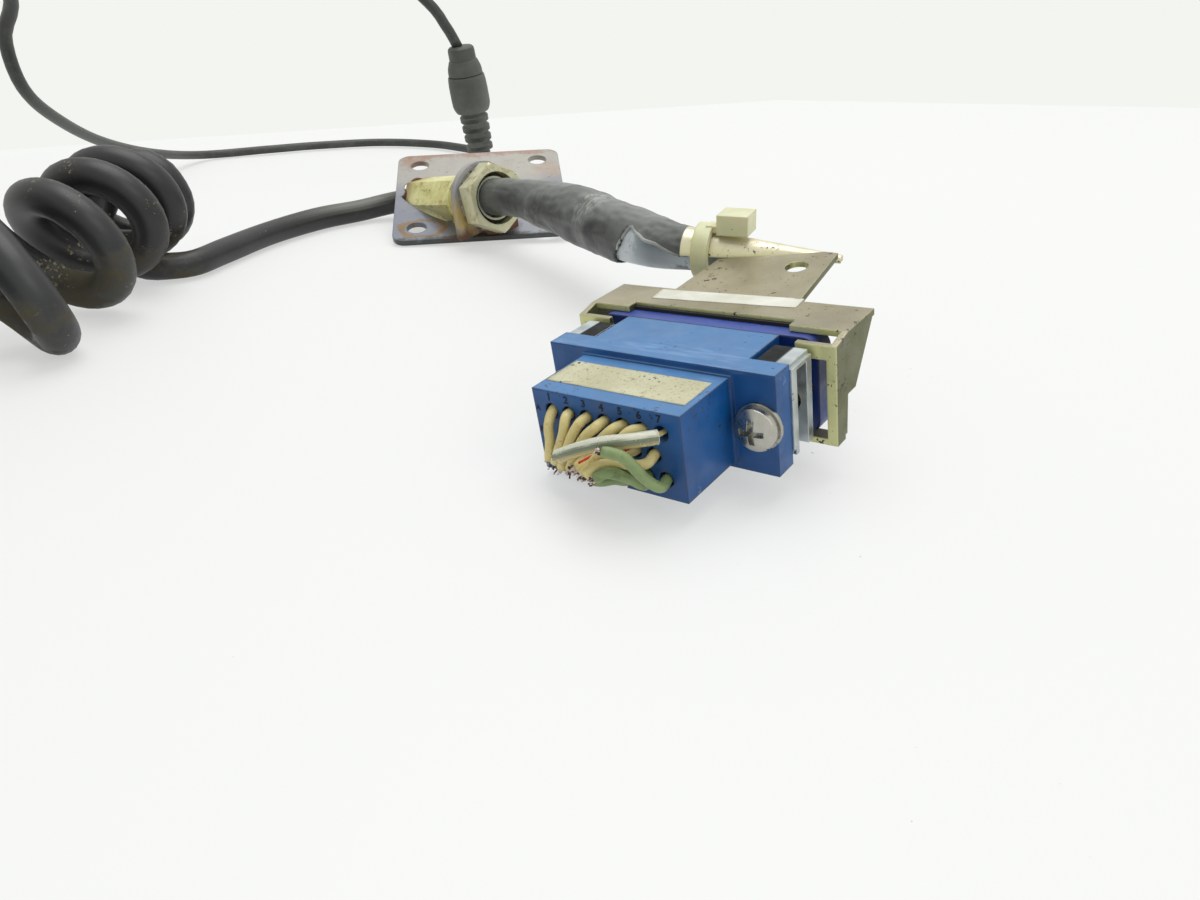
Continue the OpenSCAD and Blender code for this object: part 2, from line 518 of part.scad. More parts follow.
module housing_screws() color("#8a8b8c") pendant_frame() {
  difference() {
    screw_posts() {
      translate([0, 0, 2.2]) cylinder(h = 2.2, d = 5.4);
      translate([0, 0, 4.2]) cylinder(h = 15.2, d = 2.9);
    }
    screw_posts() for (a = [0, 90]) rotate([0, 0, a]) translate([-1.6, -0.35, 1.5]) cube([3.2, 0.7, 1.8]);
  }
}
module magnets() color("#55585a") pendant_frame() for (x = [-30, -pl + 30]) for (y = [-1, 1])
  translate([x, y * 22, 0]) difference() {
    cylinder(h = 3.45, d = 16);
    translate([0, 0, -1]) cylinder(h = 2.2, d = 4);
  }
module scale_ring() color("#dededa") pendant_frame() translate([dial_x, dial_y, bezel_top]) difference() {
  cylinder(h = 0.8, d = dial_diameter + 9);
  translate([0, 0, -1]) cylinder(h = 3, d = 24);
}
module encoder_bush() color("#c9a24a") pendant_frame() translate([dial_x, dial_y, 0]) difference() {
  union() {
    translate([0, 0, pd - 8]) cylinder(h = 9.6, d = 12);
    translate([0, 0, pd - 5.2]) cylinder(h = 2.6, d = 30);
  }
  translate([0, 0, pd - 10]) cylinder(h = 20, d = shaft_hole);
}
module encoder_body() color("#2c2e31") pendant_frame() translate([dial_x, dial_y, 0]) difference() {
  translate([0, 0, 12]) cylinder(h = pd - 12 - 5.2, r = encoder_r);
  translate([0, 0, 14]) cylinder(h = pd - 14 - 5.2 - 2, r = encoder_r - 2);
  translate([0, 0, pd - 8]) cylinder(h = 4, d = 12);
}
module encoder_disc() color("#b7c4c8") pendant_frame() translate([dial_x, dial_y, 18]) difference() {
  cylinder(h = 1, r = encoder_r - 3.5);
  for (k = [0:23]) rotate([0, 0, 15 * k]) translate([encoder_r - 6, -0.4, -1]) cube([1.8, 0.8, 3]);
  translate([0, 0, -1]) cylinder(h = 3, d = shaft_diameter);
}
module dial_shaft() color("#c3c5c6") pendant_frame() translate([dial_x, dial_y, 15.2])
  cylinder(h = bezel_top + 10 - 15.2, d = shaft_diameter);
dial_low = bezel_top + 1.4;
module dial_wheel() color("#2a2b2d") pendant_frame() translate([dial_x, dial_y, dial_low]) difference() {
  union() {
    cylinder(h = 7.6, d = dial_diameter);
    translate([0, 0, 7.6]) cylinder(h = 1.4, d1 = dial_diameter, d2 = dial_diameter - 3);
  }
  for (k = [0:35]) rotate([0, 0, 10 * k]) translate([dial_diameter / 2 + 0.5, 0, -1]) cylinder(h = 12, r = 1.3, $fn = 16);
  translate([0, 0, 5.8]) difference() {
    cylinder(h = 6, d = dial_diameter - 8);
    translate([0, 0, -1]) cylinder(h = 8, d = 20);
    translate([crank_radius, 0, -1]) cylinder(h = 8, d = 13);
  }
  translate([0, 0, -1]) cylinder(h = 9.6, d = shaft_diameter);
  translate([crank_radius, 0, 3]) cylinder(h = 8, d = 3);
  // Pointer groove
  span([-dial_diameter / 2 + 1, -0.6, 8.4], [-dial_diameter / 2 + 5, 0.6, 10]);
}
module dial_cap() color("#a9abac") pendant_frame() translate([dial_x, dial_y, dial_low + 9]) cylinder(h = 1, d1 = 16, d2 = 14.6);
module crank_pin() color("#c3c5c6") pendant_frame() translate([dial_x + crank_radius, dial_y, dial_low]) {
  translate([0, 0, 3]) cylinder(h = 25, d = 3);
  translate([0, 0, 9]) cylinder(h = 0.6, d = 7);
  translate([0, 0, 28]) cylinder(h = 0.8, d = 5);
}
module crank_knob() color("#1f2022") pendant_frame() translate([dial_x + crank_radius, dial_y, dial_low + 9.9]) difference() {
  union() {
    cylinder(h = 4, d1 = 8.6, d2 = 11.6);
    translate([0, 0, 4]) cylinder(h = 12, d1 = 11.6, d2 = 13);
    translate([0, 0, 16]) cylinder(h = 3, d1 = 13, d2 = 9.4);
  }
  translate([0, 0, -1]) cylinder(h = 22, d = 3 + 2 * run_gap);
  translate([0, 0, 17.8]) cylinder(h = 4, d = 5.6);
}
module selector_knob() difference() {
  union() {
    translate([0, 0, pd + 1.4]) cylinder(h = 5, d = selector_diameter);
    translate([0, 0, pd + 6.4]) cylinder(h = 7, d = selector_diameter - 3);
    span([-3, -selector_diameter / 2 + 0.6, pd + 1.4], [3, selector_diameter / 2 - 0.6, pd + 16]);
  }
  for (k = [0:17]) rotate([0, 0, 20 * k]) translate([selector_diameter / 2 - 1.1, 0, pd + 6.5])
    cylinder(h = 8, r = 0.8, $fn = 16);
  span([-0.5, selector_diameter / 2 - 5, pd + 15.4], [0.5, selector_diameter / 2, pd + 17]);
}
module selector_shaft() translate([0, 0, 24]) cylinder(h = pd - 15.5, d = 6);
module axis_knob() color("#232426") pendant_frame() translate([sel_x, -sel_y, 0]) {
  selector_knob();
  selector_shaft();
}
module step_knob() color("#232426") pendant_frame() translate([sel_x, sel_y, 0]) {
  selector_knob();
  selector_shaft();
}
module selector_switches() color("#3a5c46") pendant_frame() for (s = [-1, 1]) translate([sel_x, s * sel_y, 0]) difference() {
  union() {
    translate([0, 0, 19]) cylinder(h = 11, d = 26);
    translate([0, 0, 29]) cylinder(h = pd + 1 - 29, d = 7.3);
  }
  translate([0, 0, 23]) cylinder(h = 30, d = 6 + 2 * run_gap);
}
module selector_plates() color("#e2e2dc") pendant_frame() for (s = [-1, 1]) difference() {
  rbox([sel_x - 17.5, s * sel_y - 18, pd], [sel_x + 19, s * sel_y + 18, pd + 0.8], 3);
  translate([sel_x, s * sel_y, pd - 1]) cylinder(h = 3, d = 7.5);
}
module stop_button() color("#b8221f") pendant_frame() translate([stop_x, stop_y, 0]) {
  translate([0, 0, pd + 9 + stop_travel]) cylinder(h = 4, d1 = stop_diameter - 5, d2 = stop_diameter);
  translate([0, 0, pd + 13 + stop_travel]) cylinder(h = 3, d = stop_diameter);
  translate([0, 0, pd + 16 + stop_travel]) cylinder(h = 2.6, d1 = stop_diameter, d2 = stop_diameter - 8);
  translate([0, 0, pd - 6]) cylinder(h = 16 + stop_travel, d = 12);
}
module stop_collar() color("#d9b421") pendant_frame() translate([stop_x, stop_y, 0]) difference() {
  union() {
    translate([0, 0, pd]) cylinder(h = 3, d = stop_diameter + 8);
    translate([0, 0, pd + 3]) cylinder(h = 5, d = 19);
    translate([0, 0, pd - 8]) cylinder(h = 9, d = 18);
  }
  translate([0, 0, pd - 9]) cylinder(h = 20, d = 12 + 2 * slide_gap);
}
module stop_switch() color("#2e3134") pendant_frame() translate([stop_x, stop_y, 0]) difference() {
  rbox([-13, -11, 13], [13, 11, pd - 8], 2);
  translate([0, 0, pd - 8 - 4 - stop_travel]) cylinder(h = 20, d = 14);
}
module enable_button(s) pendant_frame() {
  rbox([-112, min(s * (pw / 2 + 3), s * (pw / 2 - 5.4)), 20], [-72, max(s * (pw / 2 + 3), s * (pw / 2 - 5.4)), 32], 1.5);
  span([-114, min(s * (pw / 2 - 5.4), s * (pw / 2 - 3.6)), 18.6], [-70, max(s * (pw / 2 - 5.4), s * (pw / 2 - 3.6)), 33.4]);
}
module enable_button_left() color("#3b3e42") enable_button(1);
module enable_button_right() color("#3b3e42") enable_button(-1);
module status_lamp() color("#a8d06a") pendant_frame() translate([stop_x, -22, 0]) {
  translate([0, 0, pd - 6]) cylinder(h = 7, d = 5.1);
  translate([0, 0, pd]) cylinder(h = 1.2, d = 7);
}
module circuit_board() color("#2f6b45") pendant_frame() difference() {
  union() {
    span([-pl + 12, -33, 8.2], [-14, 33, 9.8]);
    for (x = [-128, -104, -60, -40]) span([x, -26, 9.8], [x + 14, -17, 11.6]);
    for (x = [-92, -50]) span([x, 14, 9.8], [x + 9, 24, 11.4]);
    for (x = [-pl + 20, -22]) for (y = [-28, 28]) translate([x, y, 4]) cylinder(h = 4.3, d = 6);
  }
  for (x = [-pl + 20, -22]) for (y = [-28, 28]) translate([x, y, 7]) cylinder(h = 4, d = 2.6);
}
module cord_gland() color("#222325") pendant_frame() translate([0, 0, 18]) rotate([0, 90, 0]) difference() {
  union() {
    translate([0, 0, -6]) cylinder(h = 8, d = 12);
    hexa(4.5, 15);
    translate([0, 0, 4.5]) cylinder(h = 4.5, d1 = 12.4, d2 = 9);
    translate([0, 0, -5]) hexa(2.4, 15);
  }
  translate([0, 0, -8]) cylinder(h = 20, d = cord_diameter + 0.1);
}
module lead_bush() color("#222325") pendant_frame() translate([0, -20, 26]) rotate([0, 90, 0]) difference() {
  union() {
    translate([0, 0, -4]) cylinder(h = 6, d = 6.2);
    cylinder(h = 2, d = 9);
    translate([0, 0, 2]) cylinder(h = 5, d1 = 6.4, d2 = 4.4);
  }
  translate([0, 0, -5]) cylinder(h = 14, d = lead_diameter + 0.1);
}

front_connector_body();
front_contacts();
nose_label();
jackscrew_left();
jackscrew_right();
screw_washers();
lock_brackets();
wires_cream();
wire_red_stripe();
wires_green();
wire_sleeved();
rear_connector_body();
rear_contacts();
insert_nuts();
hood_bracket();
hood_saddle();
hood_label();
inner_cable();
sheath();
cable_tie();
mounting_plate();
gland_lug();
gland_body();
gland_lock_nut();
gland_lock_washer();
cord_tail();
cord_coil();
cord_lead_in();
thin_cord_near();
thin_cord_far();
coupling_socket();
coupling_plug();
thin_end_plug();
pendant_front_shell();
pendant_rear_shell();
housing_screws();
magnets();
scale_ring();
encoder_bush();
encoder_body();
encoder_disc();
dial_shaft();
dial_wheel();
dial_cap();
crank_pin();
crank_knob();
axis_knob();
step_knob();
selector_switches();
selector_plates();
stop_button();
stop_collar();
stop_switch();
enable_button_left();
enable_button_right();
status_lamp();
circuit_board();
cord_gland();
lead_bush();
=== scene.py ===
"""Looks of the handwheel pendant's cord, plate, gland and connector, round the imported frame."""
import math
import random

import bpy
from mathutils import Euler, Matrix, Vector, noise


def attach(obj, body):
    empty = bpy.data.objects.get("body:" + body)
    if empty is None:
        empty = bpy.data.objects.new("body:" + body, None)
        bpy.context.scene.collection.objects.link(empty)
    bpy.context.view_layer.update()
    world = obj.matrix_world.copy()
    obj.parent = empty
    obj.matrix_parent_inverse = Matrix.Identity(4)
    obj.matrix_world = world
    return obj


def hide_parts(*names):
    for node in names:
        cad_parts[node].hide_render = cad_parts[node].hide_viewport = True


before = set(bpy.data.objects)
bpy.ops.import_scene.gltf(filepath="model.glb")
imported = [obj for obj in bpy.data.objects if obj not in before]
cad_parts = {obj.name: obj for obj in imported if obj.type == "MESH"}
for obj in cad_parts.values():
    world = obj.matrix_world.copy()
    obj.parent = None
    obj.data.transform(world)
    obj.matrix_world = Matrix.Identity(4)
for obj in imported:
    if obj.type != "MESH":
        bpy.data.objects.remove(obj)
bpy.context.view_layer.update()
random.seed(7)

# ---- places, as in part.scad: millimetres from the foot of the view point ----
TAU = 2 * math.pi
SHIFT = (-122.83, 147.03)
FRONT = "front_connector"  # the body that draws off


def P(x, y, z):
    """Point of the table frame, in metres of the row frame."""
    return Vector(((x - SHIFT[0]) / 1000, (y - SHIFT[1]) / 1000, z / 1000))


class Place:
    """A sub-part's own axes: place(x, y, z) in millimetres gives a point of the row frame."""

    def __init__(self, at, turn):
        self.at = P(*at)
        self.turn = [math.radians(a) for a in turn]
        self.m = Matrix.Translation(self.at) @ Euler(self.turn, "XYZ").to_matrix().to_4x4()

    def __call__(self, x, y, z):
        return self.m @ Vector((x / 1000, y / 1000, z / 1000))

    def way(self, x, y, z):
        """A direction of the sub-part, in the row frame."""
        return (self.m.to_3x3() @ Vector((x, y, z))).normalized()


CONN = Place((0.87, 89.43, 7.35), (4.91, -6.44, -37.52))
PLATE = Place((-47.3, 198.7, 0.16), (16.7, -1.7, 6.6))
GLAND = Place((-22.5, 197.3, 11.35), (80, 0, 42))
PEND = Place((-115, 98, 0), (0, 0, 0))
COUP_FOOT = P(-39.5, 303, 4.1)
COUP_HEAD = P(-43.3, 299.5, 35.2)

# ---- camera at the photograph's viewing angle ----
EYE_HEIGHT, EYE_TILT, LENS = 54.9, 61.6, 26.44  # mm over the table, degrees from straight down, mm
cam = bpy.data.objects.new("camera", bpy.data.cameras.new("camera"))
bpy.context.scene.collection.objects.link(cam)
cam.location = P(0, 0, EYE_HEIGHT)
cam.rotation_euler = (math.radians(EYE_TILT), 0, 0)
cam.data.sensor_width = 36
cam.data.lens = LENS
cam.data.clip_start = 0.005
bpy.context.scene.camera = cam
bpy.context.scene.view_settings.view_transform = "Standard"


# ---- materials ----
def lin(c):
    """Scene-linear colour with alpha, from 0 to 255."""
    return tuple((v / 255 / 12.92 if v <= 10 else ((v / 255 + 0.055) / 1.055) ** 2.4) for v in c) + (1.0,)


class Mat:
    """Builds a procedural material. Colours are 0 to 255."""

    def __init__(self, name, colour, rough=0.5, metal=0.0, **sockets):
        self.m = bpy.data.materials.new(name)
        self.m.use_nodes = True
        self.nodes, self.links = self.m.node_tree.nodes, self.m.node_tree.links
        self.b = self.nodes["Principled BSDF"]
        for k, v in dict(Base_Color=lin(colour), Roughness=rough, Metallic=metal, **sockets).items():
            self.b.inputs[k.replace("_", " ")].default_value = v
        self.pos = self.nodes.new("ShaderNodeTexCoord").outputs["Object"]
        self.normal = None

    def put(self, socket, value):
        if isinstance(value, bpy.types.NodeSocket):
            self.links.new(value, socket)
        elif isinstance(value, (tuple, list)) and len(value) == 3 and socket.type == "RGBA":
            socket.default_value = lin(value)
        else:
            socket.default_value = value

    def local(self, place, scale=(1, 1, 1)):
        """Position in a sub-part's own axes, in metres."""
        n = self.nodes.new("ShaderNodeMapping")
        n.vector_type = "TEXTURE"
        self.links.new(self.pos, n.inputs[0])
        n.inputs["Location"].default_value = place.at
        n.inputs["Rotation"].default_value = place.turn
        n.inputs["Scale"].default_value = scale
        return n.outputs[0]

    def noise(self, scale, detail=3.0, rough=0.55, vec=None, distort=0.0):
        """Noise with about scale lumps in a metre, from 0 to 1."""
        n = self.nodes.new("ShaderNodeTexNoise")
        self.links.new(vec or self.pos, n.inputs["Vector"])
        n.inputs["Scale"].default_value = scale
        n.inputs["Detail"].default_value = detail
        n.inputs["Roughness"].default_value = rough
        n.inputs["Distortion"].default_value = distort
        return n.outputs["Fac"]

    def voronoi(self, scale):
        """Distance from the nearest of about scale points in a metre."""
        n = self.nodes.new("ShaderNodeTexVoronoi")
        self.links.new(self.pos, n.inputs["Vector"])
        n.inputs["Scale"].default_value = scale
        return n.outputs["Distance"]

    def math(self, op, a, b=0.0, clamp=False):
        n = self.nodes.new("ShaderNodeMath")
        n.operation = op
        n.use_clamp = clamp
        self.put(n.inputs[0], a)
        self.put(n.inputs[1], b)
        return n.outputs[0]

    def step(self, value, low, high, to_low=0.0, to_high=1.0):
        """Smooth step of value from low to high."""
        n = self.nodes.new("ShaderNodeMapRange")
        n.interpolation_type = "SMOOTHSTEP"
        self.put(n.inputs["Value"], value)
        for k, v in (("From Min", low), ("From Max", high), ("To Min", to_low), ("To Max", to_high)):
            n.inputs[k].default_value = v
        return n.outputs[0]

    def mix(self, fac, a, b):
        n = self.nodes.new("ShaderNodeMix")
        n.data_type = "RGBA"
        self.put(n.inputs[0], fac)
        self.put(n.inputs[6], a)
        self.put(n.inputs[7], b)
        return n.outputs[2]

    def split(self, vec):
        n = self.nodes.new("ShaderNodeSeparateXYZ")
        self.links.new(vec, n.inputs[0])
        return n.outputs

    def near(self, vec, point, flat=None):
        """Distance from a point given in metres, in the plane without the axis named by flat."""
        v = self.split(vec)
        total = None
        for k in range(3):
            if k == flat:
                continue
            d = self.math("SUBTRACT", v[k], point[k])
            d = self.times(d, d)
            total = d if total is None else self.math("ADD", total, d)
        return self.math("SQRT", total)

    def facing(self, way):
        """How far the surface faces the given way, from -1 to 1."""
        n = self.nodes.new("ShaderNodeVectorMath")
        n.operation = "DOT_PRODUCT"
        self.links.new(self.nodes.new("ShaderNodeNewGeometry").outputs["True Normal"], n.inputs[0])
        self.put(n.inputs[1], way)
        return n.outputs["Value"]

    def up(self, place=None):
        """How far the surface faces the place's own up, from -1 to 1."""
        return self.facing(place.way(0, 0, 1) if place else (0, 0, 1))

    def round(self, radius=0.0003):
        """Rounded edges in the shading, and a mask of them."""
        n = self.nodes.new("ShaderNodeBevel")
        n.samples = 4
        n.inputs["Radius"].default_value = radius
        self.normal = n.outputs[0]
        self.links.new(self.normal, self.b.inputs["Normal"])
        return self.step(self.facing(self.normal), 0.99, 0.86)

    def bump(self, height, strength=0.3, distance=0.0002):
        n = self.nodes.new("ShaderNodeBump")
        n.inputs["Strength"].default_value = strength
        n.inputs["Distance"].default_value = distance
        self.put(n.inputs["Height"], height)
        if self.normal:
            self.links.new(self.normal, n.inputs["Normal"])
        self.normal = n.outputs[0]
        self.links.new(self.normal, self.b.inputs["Normal"])

    def times(self, a, b):
        return self.math("MULTIPLY", a, b)

    def plus(self, a, b, share):
        """a and a share of b."""
        return self.math("ADD", a, self.times(b, share))

    def over(self, below, colour, mask, amount):
        """A colour laid over the one below where the mask is 1, as strongly as amount says."""
        return self.mix(self.times(mask, amount), below, colour)

    def mottle(self, dark, light, scale, detail, low, high, *more):
        """Two tones in clouds, with about scale lumps in a metre."""
        return self.mix(self.step(self.noise(scale, detail, *more), low, high), dark, light)

    def base(self, value):
        self.put(self.b.inputs["Base Color"], value)

    def rough(self, value):
        self.put(self.b.inputs["Roughness"], value)

    def gloss(self, scale, detail, low, high, smooth, dull):
        """Uneven roughness between two values."""
        self.rough(self.step(self.noise(scale, detail), low, high, smooth, dull))

    def metal(self, value):
        self.put(self.b.inputs["Metallic"], value)

    def dirt(self, colour, scale=900, amount=0.5, stain=(62, 52, 38), soft=0.08):
        """Specks and smudges over a colour."""
        a = self.noise(scale, 4, 0.7)
        b = self.noise(scale * 0.13, 3)
        k = 1.16 - 0.3 * amount
        return self.mix(self.step(self.plus(a, b, 0.7), k, k + soft), colour, stain)


def plain(name, colour, rough=0.5, metal=0.0, grain=1500, depth=0.15, vary=0.12, edge=None, **sockets):
    """Moulded or turned surface: mottled tone, fine grain, uneven gloss, lighter or darker edges."""
    m = Mat(name, colour, rough, metal, **sockets)
    dark = tuple(c * (1 - vary) for c in colour)
    light = tuple(min(255, c * (1 + vary * 0.6) + 2) for c in colour)
    c = m.mottle(dark, light, 90, 4, 0.3, 0.7)
    if edge:
        c = m.over(c, edge, m.round(), 0.7)
    m.base(m.dirt(c, 700, 0.25))
    m.gloss(260, 3, 0.2, 0.8, max(0.03, rough - 0.08), min(1, rough + 0.1))
    m.bump(m.noise(grain, 2), depth, 0.00005)
    return m.m


# ---- mesh helpers ----
def lump(x, y, z):
    """Smooth random value that belongs to a point, about -0.5 to 0.5."""
    return noise.noise(Vector((x, y, z)))


def link(o, body, mat, cad=()):
    """Puts a piece in the scene, on its body and with its material, in place of the CAD nodes it covers."""
    bpy.context.scene.collection.objects.link(o)
    o.data.materials.append(mat)
    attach(o, body)
    if cad:
        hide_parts(*cad)
    return o


def make(name, verts, faces, body, mat, cad=(), smooth=True, sharp=None):
    """Mesh piece; edges sharper than sharp degrees stay crisp."""
    me = bpy.data.meshes.new(name)
    me.from_pydata([tuple(v) for v in verts], [], faces)
    me.update()
    if smooth:
        me.polygons.foreach_set("use_smooth", [True] * len(me.polygons))
        if sharp:
            me.set_sharp_from_angle(angle=math.radians(sharp))
    return link(bpy.data.objects.new(name, me), body, mat, cad)


def route(points, step):
    """Points about step apart along a smooth curve through the given ones."""
    p = [Vector(q) for q in points]
    fine = []
    for i in range(len(p) - 1):
        a, b, c, d = p[max(i - 1, 0)], p[i], p[i + 1], p[min(i + 2, len(p) - 1)]
        for j in range(24):
            t = j / 24
            fine.append(0.5 * (2 * b + (c - a) * t + (2 * a - 5 * b + 4 * c - d) * t * t
                               + (3 * b - a - 3 * c + d) * t ** 3))
    fine.append(p[-1])
    total = sum((b - a).length for a, b in zip(fine, fine[1:]))
    n = max(3, round(total / step))
    out, want, run = [fine[0]], total / n, 0.0
    for a, b in zip(fine, fine[1:]):
        d = (b - a).length
        while len(out) < n and run + d >= want * len(out) - 1e-12:
            out.append(a.lerp(b, (want * len(out) - run) / d if d else 0))
        run += d
    out.append(fine[-1])
    return out


def lay(points, step):
    """A route through points of the table frame, in mm."""
    return route([P(*q) for q in points], step)


def sweep(path, radius, sides, ends=True):
    """Verts and faces of a tube. radius(i, angle, t) in metres, t from 0 to 1 along it."""
    n = len(path)
    tangents = [(path[min(i + 1, n - 1)] - path[max(i - 1, 0)]).normalized() for i in range(n)]
    side = tangents[0].orthogonal().normalized()
    verts, faces = [], []
    for i, (p, t) in enumerate(zip(path, tangents)):
        side = (side - t * side.dot(t)).normalized()
        other = t.cross(side)
        for k in range(sides):
            a = TAU * k / sides
            verts.append(p + (side * math.cos(a) + other * math.sin(a)) * radius(i, a, i / (n - 1)))
    for i in range(n - 1):
        for k in range(sides):
            a, b = i * sides + k, i * sides + (k + 1) % sides
            faces.append((a, b, b + sides, a + sides))
    if ends:
        faces.append(tuple(range(sides))[::-1])
        faces.append(tuple((n - 1) * sides + k for k in range(sides)))
    return verts, faces


def lathe(name, profile, at, axis, body, mat, cad=(), seg=48, wave=None, sharp=35, ring=False):
    """Turned piece: profile is (radius, height) in mm from at along axis, and closes on itself in a ring."""
    z = axis.normalized()
    x = z.orthogonal().normalized()
    y = z.cross(x)
    verts, faces = [], []
    for r, h in profile:
        for k in range(seg):
            a = TAU * k / seg
            q = r * (wave(a, h) if wave else 1)
            verts.append(at + (x * math.cos(a) * q + y * math.sin(a) * q + z * h) / 1000)
    rows = len(profile)
    for j in range(rows if ring else rows - 1):
        for k in range(seg):
            a, b, up = j * seg, (k + 1) % seg, (j + 1) % rows * seg
            faces.append((a + k, a + b, up + b, up + k))
    if not ring:
        faces.append(tuple(range(seg))[::-1])
        faces.append(tuple((rows - 1) * seg + k for k in range(seg)))
    return make(name, verts, faces, body, mat, cad, sharp=sharp)


def word(name, text, size, at, axes, body, mat, bold=0.0):
    """A plain number or letter, standing slightly proud of a face."""
    cu = bpy.data.curves.new(name, "FONT")
    cu.body = text
    cu.size = size
    cu.align_x = cu.align_y = "CENTER"
    cu.extrude = 0.00003
    cu.offset = bold
    o = bpy.data.objects.new(name, cu)
    o.matrix_world = Matrix.Translation(at) @ axes
    link(o, body, mat)


def dress(node, mat):
    """Gives a CAD node's own mesh a material."""
    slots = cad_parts[node].data.materials
    slots.clear()
    slots.append(mat)


# ---- cord materials ----
def cord_material():
    """Black jacket with pale soil, most of it low down on the left, and a painted highlight on the tail's
    upper side.
    """
    m = Mat("black_jacket_dust_and_highlight", (30, 30, 30), 0.55)
    soil = m.plus(m.noise(55, 5, 0.65), m.noise(420, 4, 0.7), 0.55)
    v = m.split(m.pos)
    low = m.times(m.step(v[2], 0.018, 0.008), m.step(v[0], 0.046, 0.036))
    mask = m.step(m.plus(soil, low, 0.16), 0.86, 1.12)
    c = m.mottle((27, 27, 28), (42, 43, 44), 38, 3, 0.35, 0.7)
    c = m.over(c, (84, 78, 58), mask, 0.75)
    crumbs = m.plus(m.noise(1500, 4, 0.75), m.noise(130, 3), 0.8)
    crumbs = m.step(m.plus(crumbs, low, 0.05), 1.12, 1.2)
    # painted highlight: the tail's upper side, right of the turns, is made paler
    tail_top_highlight = m.times(m.step(v[0], 0.05, 0.062), m.step(m.up(), 0.1, 0.9))
    c = m.over(c, (128, 128, 118), tail_top_highlight, 0.5)
    m.base(m.mix(crumbs, c, (150, 138, 104)))
    m.rough(m.step(mask, 0, 1, 0.42, 0.85))
    m.bump(m.plus(m.noise(900, 4, 0.7), crumbs, 0.8), 0.25, 0.0001)
    return m.m


def lead_material():
    """Black lead, greyed by dust."""
    m = Mat("black_lead", (44, 46, 42), 0.5)
    soil = m.step(m.noise(160, 4, 0.7), 0.45, 0.75)
    m.base(m.over((50, 53, 49), (96, 98, 90), soil, 0.6))
    m.rough(m.step(soil, 0, 1, 0.42, 0.7))
    m.bump(m.noise(1200, 3), 0.15, 0.00005)
    return m.m


CORD_MAT = cord_material()
LEAD_MAT = lead_material()

# ---- curly cord: tail from the gland, turns, and the run into the pendant ----
TAIL = [(-42.2, 218.3, 7.0), (-44.7, 221.1, 6.3), (-48.8, 224.1, 4.9), (-53.8, 224.6, 3.8),
        (-60, 221.4, 2.9), (-67.9, 213.8, 2.8), (-75.2, 200.8, 2.75), (-80.2, 186, 2.75),
        (-82.8, 177, 2.85), (-86.8, 173.6, 3.15), (-91, 172.6, 3.6), (-95.5, 172.7, 6.0),
        (-99.0, 174.0, 9.6), (-99.4, 175.6, 12.8), (-98.8, 178.6, 15.8), (-97.6, 181.6, 18.2),
        (-95.9, 183.2, 20.2), (-92.6, 184.1, 20.9), (-90.0, 184.2, 19.6)]
LEAD_IN = [(-102.6, 129.8, 17.6), (-103.6, 125.0, 19.4), (-101.8, 119.5, 17.8), (-98.6, 113, 15.2),
           (-95.8, 107, 14.2), (-95.2, 102.4, 15.3), (-97.6, 99, 17.2), (-104.0, 98, 18), (-109.0, 98, 18)]
FIRST, LAST = 0.68, 5.3  # turns of the helix at its two ends
TAIL_R, TURN_R = 2.6, 3.26  # radii of the cord, in mm
NEAR_R, FAR_R = 0.00132, 0.0016  # radii of the thin lead, in metres


def helix(t):
    """Point at turn t of the curly part, in mm: round turns that lean back and open to the right."""
    a = TAU * t
    cx = -97.55 + 1.698 * t - 0.163 * t * t
    cy = 188.0 - 3.801 * t - 1.4865 * t * t
    cz = 13.93 + 0.716 * t - 0.258 * t * t
    lean, turn, r = -0.255 - 0.071 * t, -0.126 + 0.32 * t - 0.097 * t * t, 8.77 + 0.144 * t
    s, c = -r * math.sin(a), -r * math.cos(a)
    return (cx + s * math.cos(turn) - c * math.sin(turn) * math.sin(lean),
            cy + s * math.sin(turn) + c * math.cos(turn) * math.sin(lean), cz + c * math.cos(lean))


path = lay(TAIL + [helix(FIRST + (LAST - FIRST) * k / 64) for k in range(65)] + LEAD_IN, 0.0016)


def ramp(t, start, span):
    """Rises from 0 at start to 1 a span later."""
    return min(1, max(0, (t - start) / span))


def cord_radius(i, a, t):
    """The cord is thicker in its turns, and a little uneven all along."""
    turns = ramp(t, 0.17, 0.08) - ramp(t, 0.93, 0.05)
    wave = 1 + 0.012 * math.sin(i * 0.37) + 0.01 * math.sin(i * 0.11 + a)
    return (TAIL_R + (TURN_R - TAIL_R) * turns) / 1000 * wave


v, f = sweep(path, cord_radius, 20)
main_cord = make("main_cord", v, f, "base", CORD_MAT,
                 ("cord_tail", "cord_coil", "cord_lead_in"))

# ---- thin lead, its in-line coupling and its end plug ----
NEAR = [(-109.6, 78, 26), (-102, 78.2, 26.4), (-92.5, 82.5, 32), (-90, 98, 46), (-94, 125, 60),
        (-101.5, 158, 65), (-108, 180, 60), (-114.3, 192, 50.4), (-120.1, 196, 43.4), (-122.4, 201, 33.5),
        (-125.1, 215, 25.4), (-129.4, 240, 16.3), (-132.7, 272, 8.0), (-131.4, 303, 2.1),
        (-113.5, 315.5, 1.75), (-98.9, 323.7, 1.7), (-78, 330, 1.7), (-57, 325, 1.75),
        (-38.8, 308.4, 2.2), (-39.5, 303.0, 4.2)]
FAR = [(-44.0, 299.3, 34.9), (-47.2, 298, 41.0), (-53.4, 295.8, 49), (-80, 290, 72), (-125, 286, 84.9),
       (-175, 284, 80), (-215, 280, 54), (-237, 273, 20), (-243, 261, 4.6), (-243, 246, 2.6)]
near_path = lay(NEAR, 0.0025)
far_path = lay(FAR, 0.0025)
v, f = sweep(near_path, lambda i, a, t: NEAR_R, 14)
thin_near = make("thin_lead_near", v, f, "base", LEAD_MAT, ("thin_cord_near",))
v, f = sweep(far_path, lambda i, a, t: FAR_R, 14)
thin_far = make("thin_lead_far", v, f, "base", LEAD_MAT, ("thin_cord_far",))

